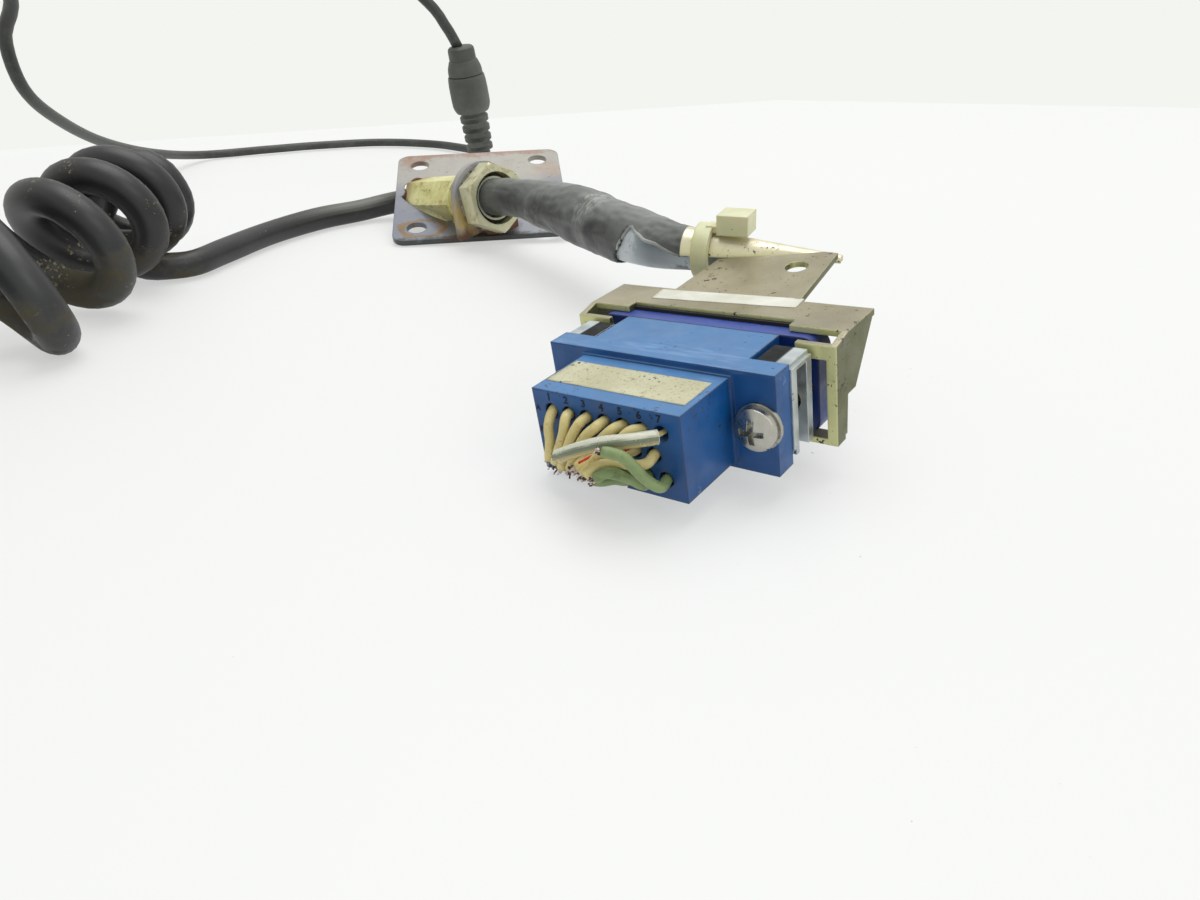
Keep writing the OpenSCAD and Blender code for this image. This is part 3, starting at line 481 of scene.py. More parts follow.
RUBBER = plain("moulded_black_rubber", (34, 35, 34), 0.6, grain=1200, depth=0.2, vary=0.2)
COUPLER = plain("coupling_black_worn", (82, 84, 78), 0.55, grain=1200, depth=0.2, vary=0.18)
socket_axis = COUP_HEAD - COUP_FOOT


def boot_wave(a, h):
    """Staggered slots of the strain relief, in two sets at right angles."""
    bottom, top, spacing = 0.4, 11.1, 3.0
    if h > top or h < bottom:
        return 1.0
    s = math.sin(TAU * h / spacing)
    front = math.cos(a - math.radians(225)) ** 2
    return 1 - 0.24 * (max(0.0, s - 0.15) * front + max(0.0, -s - 0.15) * (1 - front))


prof = [(2.2, 0.0)] + [(4.25 + 0.03 * h, h) for h in [0.05 + 0.23 * k for k in range(47)]]
prof += [(3.9, 11.15), (3.85, 11.6), (5.1, 12.0), (5.35, 12.4), (5.75, 13.2), (6.0, 14.2), (6.05, 16),
         (6.05, 18.5), (6.0, 20.2), (5.9, 21.5), (5.75, 22.6), (5.6, 22.95), (2, 23)]
coupling_socket = lathe("coupling_socket_moulding", prof, COUP_FOOT, socket_axis, "base", COUPLER,
                        ("coupling_socket",), wave=boot_wave, sharp=50)
top = socket_axis.length * 1000
prof = [(2, 23.05), (5.3, 23.1), (5.4, 23.3), (5.35, 24.4), (5.2, 25.4), (4.9, 26.2), (4.65, 26.9),
        (4.5, 27.3), (4.2, 27.5), (4.15, top - 1.4), (4.0, top - 0.6), (3.5, top - 0.15), (2.6, top),
        (1.3, top)]
coupling_plug = lathe("coupling_plug_moulding", prof, COUP_FOOT, socket_axis, "base", COUPLER,
                      ("coupling_plug",))
end_at, end_to = P(-243, 246.2, 2.55), P(-243, 217.2, 2.55)
STEEL = plain("turned_steel", (170, 172, 170), 0.32, 1.0, grain=3000, depth=0.05, vary=0.1)
prof = [(1.3, 0), (2.0, 0.1), (2.1, 0.5), (2.05, 1.2), (2.2, 1.4), (2.2, 2.2), (2.1, 2.4), (2.3, 2.8),
        (2.3, 3.6), (2.2, 3.8), (2.4, 4.4), (2.4, 8.8), (2.5, 9.2), (2.5, 19.4), (2.3, 20.0), (1.5, 20.0)]
end_plug = lathe("end_plug_body", prof, end_at, end_to - end_at, "base", RUBBER,
                 ("thin_end_plug",))
prof = [(1.2, 20.0), (1.2, 22.6), (0.9, 22.7), (0.9, 23.0), (1.2, 23.1), (1.2, 26.6), (0.85, 26.8),
        (0.85, 27.0), (1.15, 27.4), (1.0, 28.2), (0.3, 28.95)]
end_tip = lathe("end_plug_tip", prof, end_at, end_to - end_at, "base", STEEL)

# ---- wide tube from the gland to the hood, torn open near the tie, with the jacket under it ----
SHEATH = [(-24.6, 198.8, 11.2), (-17.6, 191, 12.8), (-9.1, 179, 13.6), (-2.5, 167, 14.4), (3.4, 156, 14.6),
          (9, 146, 15.4), (13.6, 136, 16.9), (15.6, 133.2, 17.3)]
SHEATH_R = [3.9, 3.9, 4.0, 4.4, 4.85, 5.15, 5.4, 5.45, 5.35, 5.1, 4.75, 4.3, 3.8, 3.5]


def along(table, t):
    """Value at t, from 0 to 1, of evenly spaced ones."""
    x = min(max(t, 0), 1) * (len(table) - 1)
    i = min(int(x), len(table) - 2)
    return table[i] + (table[i + 1] - table[i]) * (x - i)


def upright(path, i):
    """A path's side direction towards the viewer and the one that points up, at point i."""
    t = (path[min(i + 1, len(path) - 1)] - path[max(i - 1, 0)]).normalized()
    side = t.cross(Vector((0, 0, 1))).normalized()
    side = -side if side.y > 0 else side
    up = t.cross(side)
    return side, up if up.z > 0 else -up


def thicken(o, thick):
    """Gives a sheet its thickness, inwards."""
    wall = o.modifiers.new("wall", "SOLIDIFY")
    wall.thickness = thick
    wall.offset = -1


def wall(name, path, radius, sides, keep, body, mat, slot, cad=(), thick=0.0):
    """Tube whose angle is counted from above towards the viewer's side, with faces left out."""
    n = len(path)
    verts, faces = [], []
    for i, p in enumerate(path):
        side, up = upright(path, i)
        for k in range(sides):
            a = TAU * k / sides
            verts.append(p + (up * math.cos(a) + side * math.sin(a)) * radius(i / (n - 1), a) / 1000)
    for i in range(n - 1):
        for k in range(sides):
            if keep((i + 0.5) / (n - 1), 360 * (k + 0.5) / sides):
                a, b = i * sides + k, i * sides + (k + 1) % sides
                faces.append((a, b, b + sides, a + sides))
    o = make(name, verts, faces, body, mat, cad)
    if thick:
        thicken(o, thick)
    return o


def crumple(t, a, size):
    """Wrinkles of the shrunk tube, in mm."""
    q = Vector((t * 9, math.cos(a) * 1.3, math.sin(a) * 1.3))
    big = noise.noise(q) * 0.5
    fine = noise.noise(q * 3.1 + Vector((4, 1, 7))) * 0.22
    fold = math.exp(-((t - 0.60 - 0.03 * math.sin(a)) / 0.022) ** 2) * max(0.0, math.sin(a + 0.3)) * 0.35
    fold -= math.exp(-((t - 0.56) / 0.02) ** 2) * max(0.0, math.sin(a + 0.3)) * 0.3
    return (big + fine) * size + fold


def torn(t, deg):
    """True where the tube is torn away."""
    jag = 0.012 * lump(deg * 0.05, t * 12, 3)
    jag += 0.005 * lump(deg * 0.3, 9, t * 60)
    left = 0.735 + 0.05 * math.sin(math.radians(deg) * 1.3 + 0.4) + jag
    top = 46 + 44 * max(0.0, (t - 0.76) / 0.24) ** 0.8 + 4 * lump(t * 18, 2, 1)
    low = 285 - 30 * max(0.0, (t - 0.9) / 0.1) + 9 * lump(t * 55, 5, 2)
    return t > left and top < deg < low


sheath_path = lay(SHEATH, 0.0006)


def sheath_material():
    """Dull grey tube: scuffed, with a painted sheen that makes it paler on top and a painted highlight along
    one crease.
    """
    m = Mat("sheath_dull_grey", (58, 60, 60), 0.5)
    scuff = m.plus(m.noise(230, 5, 0.7), m.noise(60, 3), 0.7)
    c = m.mottle((38, 40, 40), (92, 94, 91), 85, 4, 0.35, 0.65)
    c = m.over(c, (150, 150, 146), m.step(scuff, 0.94, 1.16), 0.6)
    fold = m.local(Place((-0.4, 160.5, 17.4), (0, 0, -57)), (1, 1, 6))
    # painted highlight along one crease
    crease = m.times(m.step(m.near(m.pos, P(-0.4, 160.5, 17.4)), 0.006, 0.001),
                    m.step(m.noise(900, 4, 0.7, fold), 0.46, 0.6))
    # painted sheen: faces turned up are made paler
    c = m.over(c, (150, 153, 147), m.step(m.up(), 0.25, 0.95), 0.32)
    c = m.over(c, (190, 192, 186), crease, 0.65)
    m.base(m.dirt(c, 1100, 0.35, (70, 62, 45)))
    m.rough(m.step(scuff, 0.7, 1.2, 0.36, 0.66))
    m.bump(m.plus(m.noise(420, 4, 0.65), m.noise(1500, 2), 0.3), 0.45, 0.00022)
    return m.m


sheath = wall("sheath_tube", sheath_path,
              lambda t, a: along(SHEATH_R, t) + crumple(t, a, min(1, 0.25 + 2 * t) * 0.75),
              96, lambda t, d: not torn(t, d), "base", sheath_material(), "sheath_grey", ("sheath",),
              thick=0.00035)


def jacket_material():
    """Smooth blue-grey jacket, with painted shade round its right part, a white patch at its left, and a dark
    remnant of the tube.
    """
    m = Mat("jacket_smooth_grey", (132, 140, 148), 0.4)
    # painted shade: the jacket is darker round its right part, inside the torn tube
    c = m.mix(m.step(m.near(m.pos, P(10.6, 139.5, 16)), 0.002, 0.0085), (104, 114, 120), (164, 172, 176))
    pale_left_patch = m.plus(m.near(m.pos, P(4.6, 149, 15)), m.noise(500, 4, 0.7), 0.008)
    pale_left_patch = m.step(pale_left_patch, 0.0105, 0.0075)
    c = m.over(c, (206, 212, 214), pale_left_patch, 0.8)
    rest = m.plus(m.near(m.pos, P(13.6, 134.4, 12.6)), m.noise(420, 4, 0.7), 0.006)
    c = m.over(c, (58, 58, 54), m.step(rest, 0.0066, 0.0058), 0.85)
    m.base(m.dirt(c, 520, 0.35, (80, 76, 66)))
    m.gloss(200, 3, 0.3, 0.7, 0.32, 0.55)
    m.bump(m.noise(160, 3), 0.12, 0.0003)
    return m.m


# Pale edge of the tear, along the upper side of the gap
lip = []
for k in range(14):
    t = 0.752 + 0.236 * k / 13
    i = round(t * (len(sheath_path) - 1))
    side, up = upright(sheath_path, i)
    a = math.radians(next((d for d in range(20, 170) if torn(t, d)), 60))
    r = (along(SHEATH_R, t) + crumple(t, a, 0.75) - 0.12) / 1000
    lip.append(sheath_path[i] + (up * math.cos(a) + side * math.sin(a)) * r)
v, f = sweep(route(lip, 0.0004), lambda i, a, t: 0.00021 + 0.0001 * math.sin(3.1 * t), 10)
make("torn_lip", v, f, "base", plain("torn_edge", (150, 152, 148), 0.6, grain=900, depth=0.3, vary=0.3))
INNER = [(-28.2, 202.8, 10.3), (-19.0, 192.6, 12.5), (-9.1, 179, 13.6), (1.7, 159.5, 14.5), (9, 146, 15.4),
         (14.0, 135.2, 17.0), (18.0, 130.6, 17.6), (23.2, 126.6, 15.6), (24.8, 120.6, 11.2),
         (22.6, 116.6, 10.3)]
INNER_R = [2.6, 2.6, 2.6, 2.7, 3.3, 4.2, 4.7, 4.9, 4.95, 4.85, 4.6, 4.15, 3.5, 2.9, 2.7, 2.6, 2.6, 2.6]
inner_path = lay(INNER, 0.001)
jacket = wall("inner_jacket", inner_path,
              lambda t, a: along(INNER_R, t) + 0.12 * lump(t * 12, a, 0),
              48, lambda t, d: True, "base", jacket_material(), "jacket_blue_grey", ("inner_cable",))

# ---- cut wires ----
PITCH, ROW = 2.6, 2.9  # of the holes, in mm
CREAM_R, GREEN_R, STRAND_R = 0.62, 0.66, 0.0001


def spot(k):
    """Middle of hole k of the rows of 7, 6 and 7."""
    if k < 7:
        return (k - 3) * PITCH, ROW
    return ((k - 9.5) * PITCH, 0) if k < 13 else ((k - 16) * PITCH, -ROW)


def wire_material(name, colour, stain, **sockets):
    """Soft plastic cover of a wire, stained."""
    m = Mat(name, colour, 0.45, 0.0, **sockets)
    c = m.mottle(tuple(v * 0.9 for v in colour), colour, 300, 4, 0.3, 0.75)
    c = m.over(c, stain, m.step(m.noise(700, 4, 0.7), 0.52, 0.72), 0.55)
    m.base(c)
    m.gloss(900, 2, 0.3, 0.7, 0.38, 0.62)
    m.bump(m.noise(1300, 3), 0.2, 0.00008)
    return m.m


CREAM = wire_material("wire_cream_pvc", (230, 214, 146), (132, 104, 54))
GREEN = wire_material("wire_green_pvc", (138, 158, 104), (84, 96, 56))


def clear_material():
    """Clear yellowed sleeve, with painted shade greying its upper side and a painted highlight along its top.
    """
    m = Mat("wire_clear_sleeve", (222, 226, 206), 0.16, 0.0, Transmission_Weight=0.45, IOR=1.3)
    # painted shade: faces turned up are greyer
    c = m.mix(m.step(m.up(CONN), -0.45, 0.15), (222, 206, 150), (150, 160, 138))
    # painted highlight along the top
    shine = m.step(m.plus(m.up(CONN), m.noise(240, 3), 0.7), 0.72, 1.05)
    c = m.mix(shine, c, (246, 250, 234))
    m.base(c)
    m.gloss(600, 3, 0.3, 0.7, 0.1, 0.3)
    m.bump(m.noise(420, 3), 0.25, 0.00012)
    return m.m


RED = wire_material("wire_red_mark", (196, 52, 40), (120, 40, 30))


def strand_material():
    """Tinned strands, in light and dark threads."""
    m = Mat("tinned_strand", (168, 150, 128), 0.4, 0.5)
    m.base(m.mottle((66, 54, 50), (214, 196, 184), 1100, 2, 0.46, 0.54))
    m.gloss(2000, 2, 0.3, 0.7, 0.3, 0.55)
    return m.m


TINNED = strand_material()


def wire(name, k, way, r, mat, cad=(), strands=9):
    """A cut wire out of hole k, with bared strands at its end."""
    x, z = spot(k)
    p = route([CONN(*q) for q in [(x, 3.4, z), (x, 0.4, z)] + way], 0.0003)
    n = len(p)
    v, f = sweep(p, lambda i, a, t: r / 1000 * (1 + 0.05 * lump(i * 0.15, a, k)
                                                - 0.12 * max(0, (i - n + 3) / 3)), 18)
    o = make(name, v, f, FRONT, mat, cad)
    end, way = p[-1], (p[-1] - p[-3]).normalized()
    side = way.orthogonal().normalized()
    other = way.cross(side)
    v, f = [], []
    for s in range(strands):
        a, q = random.uniform(0, 6.28), random.uniform(0, 0.75) * r / 1000
        foot = end + (side * math.cos(a) + other * math.sin(a)) * q
        spread = (side * math.cos(a) + other * math.sin(a)) * random.uniform(-0.2, 0.9)
        tip = foot + (way + spread * 0.7).normalized() * random.uniform(0.35, 0.95) / 1000
        bend = foot.lerp(tip, 0.6) + side * random.uniform(-1, 1) * 0.0001
        vv, ff = sweep(route([foot - way * 0.0004, foot, bend, tip], 0.0003), lambda i, a, t: STRAND_R, 6)
        f += [tuple(i + len(v) for i in q) for q in ff]
        v += vv
    make(name + "_strands", v, f, FRONT, TINNED)


creams = {0: [(-7.5, -1.3, 1.6), (-7.2, -1.9, -0.2), (-7.6, -2.2, -2.6)],
          1: [(-4.7, -1.2, 3.0), (-5.0, -1.9, 1.0), (-6.3, -2.7, -2.6)],
          2: [(-2.8, -1.2, 2.6), (-3.7, -2.1, 0.8), (-5.0, -3.1, -2.8)],
          3: [(-0.3, -1.2, 2.7), (-1.9, -2.0, 1.1), (-3.6, -3.2, -2.5)],
          4: [(2.1, -1.1, 2.9), (0.7, -1.7, 1.6), (-1.2, -2.2, -0.5), (-2.2, -3.5, -1.8)],
          5: [(4.5, -1.1, 3.1), (3.2, -2.1, 1.9), (1.4, -3.4, 0.5), (-0.1, -4.9, -1.5)],
          12: [(6.4, -1.3, -0.4), (5.3, -2.3, -0.4), (3.3, -3.1, -0.1), (2.1, -4.6, 0), (0.9, -5.6, -0.9)]}
greens = {19: [(8.0, -1.5, -3.0), (7.3, -2.9, -1.5), (6.9, -4.2, 0.6), (6.2, -5.0, 2.2), (5.2, -5.3, 2.6),
               (4.0, -5.7, 2.8)],
          18: [(5.8, -1.4, -3.3), (4.7, -2.6, -2.1), (3.9, -4.0, -0.9), (3.3, -5.1, -0.4), (2.5, -5.8, -0.9)],
          17: [(3.3, -1.3, -3.3), (2.4, -2.6, -2.7), (1.7, -3.7, -2.5), (1.1, -4.6, -2.1)]}
for k, way in creams.items():
    wire("wire_cream_%d" % k, k, way, CREAM_R, CREAM, ("wires_cream",) if k == 0 else ())
for k, way in greens.items():
    wire("wire_green_%d" % k, k, way, GREEN_R, GREEN, ("wires_green",) if k == 19 else ())
striped = [(2.9, -1.2, -0.2), (1.6, -2.2, -0.2), (0.2, -2.8, -0.4), (-1.4, -4.4, -1.2)]
wire("wire_striped", 11, striped, CREAM_R, CREAM, ("wire_red_stripe",))
x, z = spot(11)
pts = route([CONN(q[0], q[1] - 0.2, q[2] + 0.31) for q in [(x, 3.4, z), (x, 0.4, z)] + striped], 0.0003)
v, f = sweep(pts[:-2], lambda i, a, t: 0.0003, 12)
make("wire_red_line", v, f, FRONT, RED)
wire("wire_in_sleeve", 6,
     [(7.2, -1.3, 3.0), (6.0, -2.9, 3.3), (3.2, -4.4, 2.9), (-0.5, -5.2, 1.6), (-3.6, -5.0, 0.1)], 0.3, CREAM,
     ("wire_sleeved",), 14)
pts = route([CONN(*q) for q in [(7.9, -1.0, 3.0), (6.2, -2.9, 3.25), (3.2, -4.4, 2.95), (-0.5, -5.2, 1.7),
                                (-3.3, -5.0, 0.3)]], 0.0003)
v, f = sweep(pts, lambda i, a, t: 0.00084 * (1 + 0.05 * math.sin(9 * t + a)), 24, ends=False)
sleeve = make("clear_sleeve", v, f, FRONT, clear_material())
thicken(sleeve, 0.00018)
rim = [pts[0] + (pts[1] - pts[0]) * e for e in (-0.3, 0.3)]
outer, f = sweep(rim, lambda i, a, t: 0.00085, 24, ends=False)
inner, back = sweep(rim, lambda i, a, t: 0.00066, 24, ends=False)
f += [tuple(i + 48 for i in x)[::-1] for x in back]
for i in range(24):
    j = (i + 1) % 24
    f += [(i, j, 48 + j, 48 + i), (24 + j, 24 + i, 72 + i, 72 + j)]
make("sleeve_cut_rim", outer + inner, f, FRONT, plain("sleeve_rim", (226, 228, 206), 0.3))

# ---- paper labels, left blank ----


def nose_paper():
    """Yellowed, soiled paper of the label on the nose."""
    m = Mat("label_paper", (214, 206, 176), 0.7)
    c = m.mottle((186, 182, 148), (206, 204, 174), 140, 4, 0.3, 0.75)
    c = m.over(c, (138, 124, 92), m.step(m.noise(800, 5, 0.8), 0.55, 0.7), 0.5)
    c = m.over(c, (108, 96, 72), m.step(m.noise(2100, 3, 0.6), 0.60, 0.68), 0.7)
    m.base(m.dirt(c, 1700, 0.5, (62, 54, 40)))
    m.gloss(500, 2, 0.2, 0.8, 0.55, 0.8)
    m.bump(m.noise(1800, 4, 0.7), 0.3, 0.00006)
    return m.m


def hood_paper():
    """Whiter paper of the label on the hood."""
    m = Mat("label_paper_white", (222, 222, 206), 0.6)
    c = m.mottle((206, 206, 188), (230, 230, 218), 200, 4, 0.3, 0.75)
    m.base(m.dirt(c, 1400, 0.45, (110, 100, 80)))
    m.bump(m.noise(1500, 3), 0.2, 0.00005)
    return m.m


def sticker(name, corners, mat, cad, body):
    """Thin label on a flat face, corners counted round it, in the connector's axes."""
    nx, ny, lift, curl = 40, 14, 0.06, 0.08
    a, b, c, d = [Vector(q) for q in corners]
    verts, faces = [], []
    for j in range(ny + 1):
        for i in range(nx + 1):
            u, w = i / nx, j / ny
            e = min(u, 1 - u, w, 1 - w)
            q = (a * (1 - u) + b * u) * (1 - w) + (d * (1 - u) + c * u) * w
            if e < 0.001:
                q += (b - a).normalized() * lump(w * 9, u * 3, 1) * 0.12
            q.z += lift + curl * max(0, 0.05 - e) * 6 * (0.5 + lump(u * 7, w * 5, 4))
            verts.append(CONN(*q))
    for j in range(ny):
        for i in range(nx):
            k = j * (nx + 1) + i
            faces.append((k, k + 1, k + nx + 2, k + nx + 1))
    thicken(make(name, verts, faces, body, mat, cad), 0.00008)


sticker("nose_paper", ((-10.15, 2.4, 5.45), (9.55, 2.4, 5.45), (9.45, 8.3, 5.45), (-10.1, 8.2, 5.45)),
        nose_paper(), ("nose_label",), FRONT)
ROOF = 7.3  # height of the hood's roof
sticker("hood_paper", ((-10.6, 26.1, ROOF), (10.1, 27.8, ROOF), (9.8, 30.9, ROOF), (-11.1, 29.5, ROOF)),
        hood_paper(), ("hood_label",), "base")

# ---- blue connectors ----


def blue(name, top_dust_and_sheen, dark=(6, 66, 124), light=(14, 86, 150), dust_and_sheen_tone=(98, 150, 198)):
    """Blue moulding with a top paled by dust and painted sheen, scratches, and dirt on its edges but not at
    its foot.
    """
    m = Mat(name, (16, 78, 150), 0.4)
    edge = m.round(0.0004)
    c = m.mottle(dark, light, 110, 4, 0.3, 0.7)
    # dust and painted sheen: faces turned up are made paler
    c = m.over(c, dust_and_sheen_tone, m.step(m.up(CONN), 0.55, 0.95), top_dust_and_sheen)
    y, z = m.split(m.local(CONN))[1:3]
    foot = m.times(m.step(m.math("ABSOLUTE", m.math("SUBTRACT", y, 0.0103)), 0.0012, 0.0007),
                  m.step(z, 0.0068, 0.0062))
    edge = m.times(edge, m.math("SUBTRACT", 1.0, m.times(foot, 0.85)))
    c = m.over(c, (72, 66, 62), edge, m.step(m.noise(500, 4, 0.7), 0.36, 0.56, 0.1, 0.85))
    scratch = m.noise(60, 6, 0.9, m.local(CONN, (9, 1, 1)))
    c = m.over(c, (150, 182, 220), m.step(scratch, 0.60, 0.66), 0.25)
    c = m.dirt(c, 1500, 0.42, (48, 44, 44), 0.05)
    m.base(m.dirt(c, 520, 0.25, (70, 66, 60)))
    m.gloss(300, 4, 0.25, 0.75, 0.3, 0.55)
    m.bump(m.noise(1400, 3), 0.12, 0.00005)
    return m.m


dress("front_connector_body", blue("connector_blue_front", 0.5))
# painted shade: the rear connector, under the hood, gets a darker copy of the blue
dress("rear_connector_body", blue("connector_blue_rear_shaded", 0.4, (8, 40, 112), (20, 56, 134), (86, 104, 184)))
for n in ("front_contacts", "rear_contacts", "insert_nuts"):
    dress(n, plain("brass_" + n, (186, 148, 78), 0.32, 1.0, grain=2500, depth=0.06))

# Plain numbers over the holes and letters beside the rows
mark = Mat("moulded_mark", (4, 10, 26), 0.7)
mark.base(mark.mix(mark.noise(900), (3, 8, 20), (8, 18, 40)))
axes = (CONN.m @ Matrix.Rotation(math.radians(90), 4, "X")).to_3x3().to_4x4()
marks = [("mark_%d" % (k + 1), str(k + 1), 0.0013, spot(k)[0] - 0.15, 4.62) for k in range(7)]
marks += [("row_" + s, s, 0.0009, -10.0, spot(k)[1]) for k, s in ((0, "A"), (7, "B"), (13, "C"))]
for name, text, size, x, z in marks:
    word(name, text, size, CONN(x, -0.005, z), axes, FRONT, mark.m, 0.00004)

# Dark box painted as the shade in the gap under the hood's front edge
strip = ((-11.8, 23.7), (11.8, 23.7), (11.8, 24.28), (-11.8, 24.28))
v = [CONN(x, y, z) for z in (6.15, 6.85) for x, y in strip]
f = [(3, 2, 1, 0), (4, 5, 6, 7)] + [(i, (i + 1) % 4, 4 + (i + 1) % 4, 4 + i) for i in range(4)]
make("slot_shadow", v, f, "base", plain("gap_painted_shade", (20, 20, 20), 0.8, grain=900, depth=0.4),
     smooth=False)

# ---- metal of the connector and hood ----


def chromate(name, roof, dark=(180, 182, 124), light=(206, 208, 158)):
    """Yellow-chromated sheet, browner on faces turned down and with painted light on faces turned to the
    front; the hood has a browner roof and a right flap darkened by painted shade.
    """
    m = Mat(name, (194, 194, 140), 0.38, 0.45)
    edge = m.round(0.0003)
    c = m.mottle(dark, light, 70, 4, 0.3, 0.7)
    c = m.mix(m.step(m.noise(160, 4, 0.7, distort=1.5), 0.5, 0.72, 0.0, 0.5), c, (152, 144, 84))
    c = m.over(c, (168, 146, 122), m.step(m.up(CONN), 0.1, -0.5), 0.7)
    # painted light: faces turned to the front are made paler
    c = m.over(c, (240, 236, 168), m.step(m.facing(CONN.way(0, -1, 0)), 0.6, 0.95), 0.4)
    if roof:
        # painted shade: the hood's right flap is darkened
        c = m.over(c, (70, 70, 28), m.step(m.facing(CONN.way(1, 0, 0)), 0.6, 0.95), 0.9)
        taupe = m.mottle((142, 134, 110), (166, 158, 134), 95, 4, 0.3, 0.7)
        c = m.mix(m.step(m.up(CONN), 0.72, 0.95), c, taupe)
    c = m.over(c, (222, 222, 180), edge, 0.5)
    c = m.dirt(c, 1300, 0.5, (44, 40, 30), 0.05)
    c = m.mix(m.step(m.noise(2300, 2, 0.6), 0.70, 0.73), c, (52, 46, 34))
    m.base(m.dirt(c, 420, 0.3, (96, 84, 50)))
    m.gloss(240, 4, 0.3, 0.75, 0.3, 0.5)
    m.metal(m.step(m.noise(90, 3), 0.2, 0.8, 0.35, 0.6))
    m.bump(m.noise(900, 4, 0.7), 0.16, 0.00006)
    return m.m


dress("hood_bracket", chromate("hood_chromate", True))
dress("hood_saddle", chromate("saddle_chromate", False, (208, 200, 168), (228, 220, 196)))


def zinc_material():
    """Zinc brackets, with painted shade where the nose leaves a gap over them."""
    m = Mat("bracket_zinc", (176, 184, 188), 0.36, 0.85)
    edge = m.round(0.0002)
    c = m.mix(m.step(m.voronoi(420), 0.1, 0.8), (160, 168, 172), (196, 202, 204))
    c = m.over(c, (220, 224, 224), edge, 0.5)
    # painted shade: near-black where the nose leaves a gap over the brackets' tops
    gap = m.math("ABSOLUTE", m.split(m.local(CONN))[0])
    gap = m.times(m.step(gap, 0.0145, 0.0141), m.step(m.up(CONN), 0.5, 0.8))
    m.base(m.mix(gap, m.dirt(c, 1200, 0.4, (84, 80, 70)), (7, 8, 12)))
    m.metal(m.step(gap, 0, 1, 0.85, 0.0))
    m.rough(m.plus(m.step(m.noise(500, 4), 0.3, 0.7, 0.28, 0.5), gap, 0.45))
    m.bump(m.noise(1100, 3), 0.15, 0.00006)
    return m.m


dress("lock_brackets", zinc_material())


def screw_material():
    """Nickel-plated screws, with dirt."""
    m = Mat("screw_nickel", (196, 194, 186), 0.24, 1.0)
    m.round(0.00018)
    m.base(m.dirt(m.mix(m.noise(400, 3), (150, 148, 138), (196, 194, 186)), 1500, 0.55, (54, 46, 36)))
    m.gloss(700, 4, 0.3, 0.7, 0.18, 0.42)
    m.bump(m.noise(1400, 3), 0.1, 0.00005)
    return m.m


SCREW = screw_material()
for n in ("jackscrew_left", "jackscrew_right", "screw_washers"):
    dress(n, SCREW)


def nylon_material():
    """Yellowed nylon of the cable tie."""
    m = Mat("tie_nylon", (226, 222, 190), 0.42, 0.0, Subsurface_Weight=0.25, Subsurface_Scale=0.002)
    m.round(0.00035)
    c = m.mottle((206, 206, 158), (232, 232, 200), 120, 4, 0.3, 0.75)
    m.base(m.dirt(c, 900, 0.5, (70, 62, 44), 0.05))
    m.gloss(400, 3, 0.3, 0.7, 0.34, 0.55)
    m.bump(m.noise(700, 3), 0.2, 0.00008)
    return m.m


dress("cable_tie", nylon_material())

# ---- plate and gland ----


def plate_material():
    """Worn steel plate with rust at its edges and holes, and rust with painted shadow under the gland's nut.
    """
    m = Mat("plate_worn_steel", (160, 162, 164), 0.42, 0.35)
    loc = m.local(PLATE)
    py = m.split(loc)[1]
    edge = m.round(0.00025)
    big = m.noise(70, 5, 0.6, loc)
    c = m.mix(m.step(m.plus(py, big, 0.012), 0.026, 0.036), (122, 125, 136), (164, 160, 152))
    c = m.over(c, (146, 147, 148), m.step(m.noise(45, 4, 0.6, loc), 0.45, 0.6), 0.3)
    wob = m.times(m.math("SUBTRACT", m.noise(260, 5, 0.7, loc), 0.5), 0.012)

    def rust(c, dist, inner, outer, amount, colour=(140, 96, 66)):
        """Stain round where dist is 0, with a ragged edge."""
        return m.over(c, colour, m.step(m.math("ADD", dist, wob), outer, inner), amount)

    far = m.math("SUBTRACT", 0.041, py)
    c = rust(c, far, 0.0004, 0.0030, 0.7, (150, 112, 96))
    c = rust(c, m.near(loc, (0.003, 0.038, 0), 2), 0.001, 0.005, 0.5)
    ring = m.near(m.local(PLATE, (1.5, 1, 1)), (0.0045, 0.0050, 0), 2)
    ring = m.plus(ring, wob, 0.35)
    ring = m.times(m.step(ring, 0.0027, 0.0031), m.step(ring, 0.0044, 0.0038))
    c = m.over(c, (128, 102, 62), ring, 0.85)
    c = rust(c, m.near(loc, (0.0118, 0.0036, 0), 2), 0.0002, 0.0014, 0.6, (166, 112, 48))
    # dark rust with painted shadow under the gland's nut
    c = rust(c, m.near(loc, (0.023, 0.003, 0), 2), 0.003, 0.0065, 0.8, (78, 54, 38))
    c = rust(c, m.near(loc, (0.013, 0.0, 0), 2), 0.001, 0.003, 0.8, (120, 84, 60))
    near = m.step(m.plus(py, wob, 0.4), 0.0018, 0.0003)
    c = m.over(c, (58, 62, 60), near, 0.85)
    c = rust(c, m.near(loc, (0.038, 0.030, 0), 2), 0.002, 0.006, 0.35, (156, 120, 98))
    c = m.over(c, (96, 80, 66), m.step(m.noise(620, 4, 0.75, loc), 0.58, 0.7), 0.5)
    m.base(m.over(c, (84, 74, 64), edge, m.step(m.noise(300, 4, 0.7, loc), 0.35, 0.6, 0.2, 0.8)))
    m.rough(m.step(m.noise(200, 4, 0.6, loc), 0.3, 0.7, 0.3, 0.6))
    m.bump(m.noise(900, 5, 0.75, loc), 0.3, 0.0001)
    return m.m


dress("mounting_plate", plate_material())


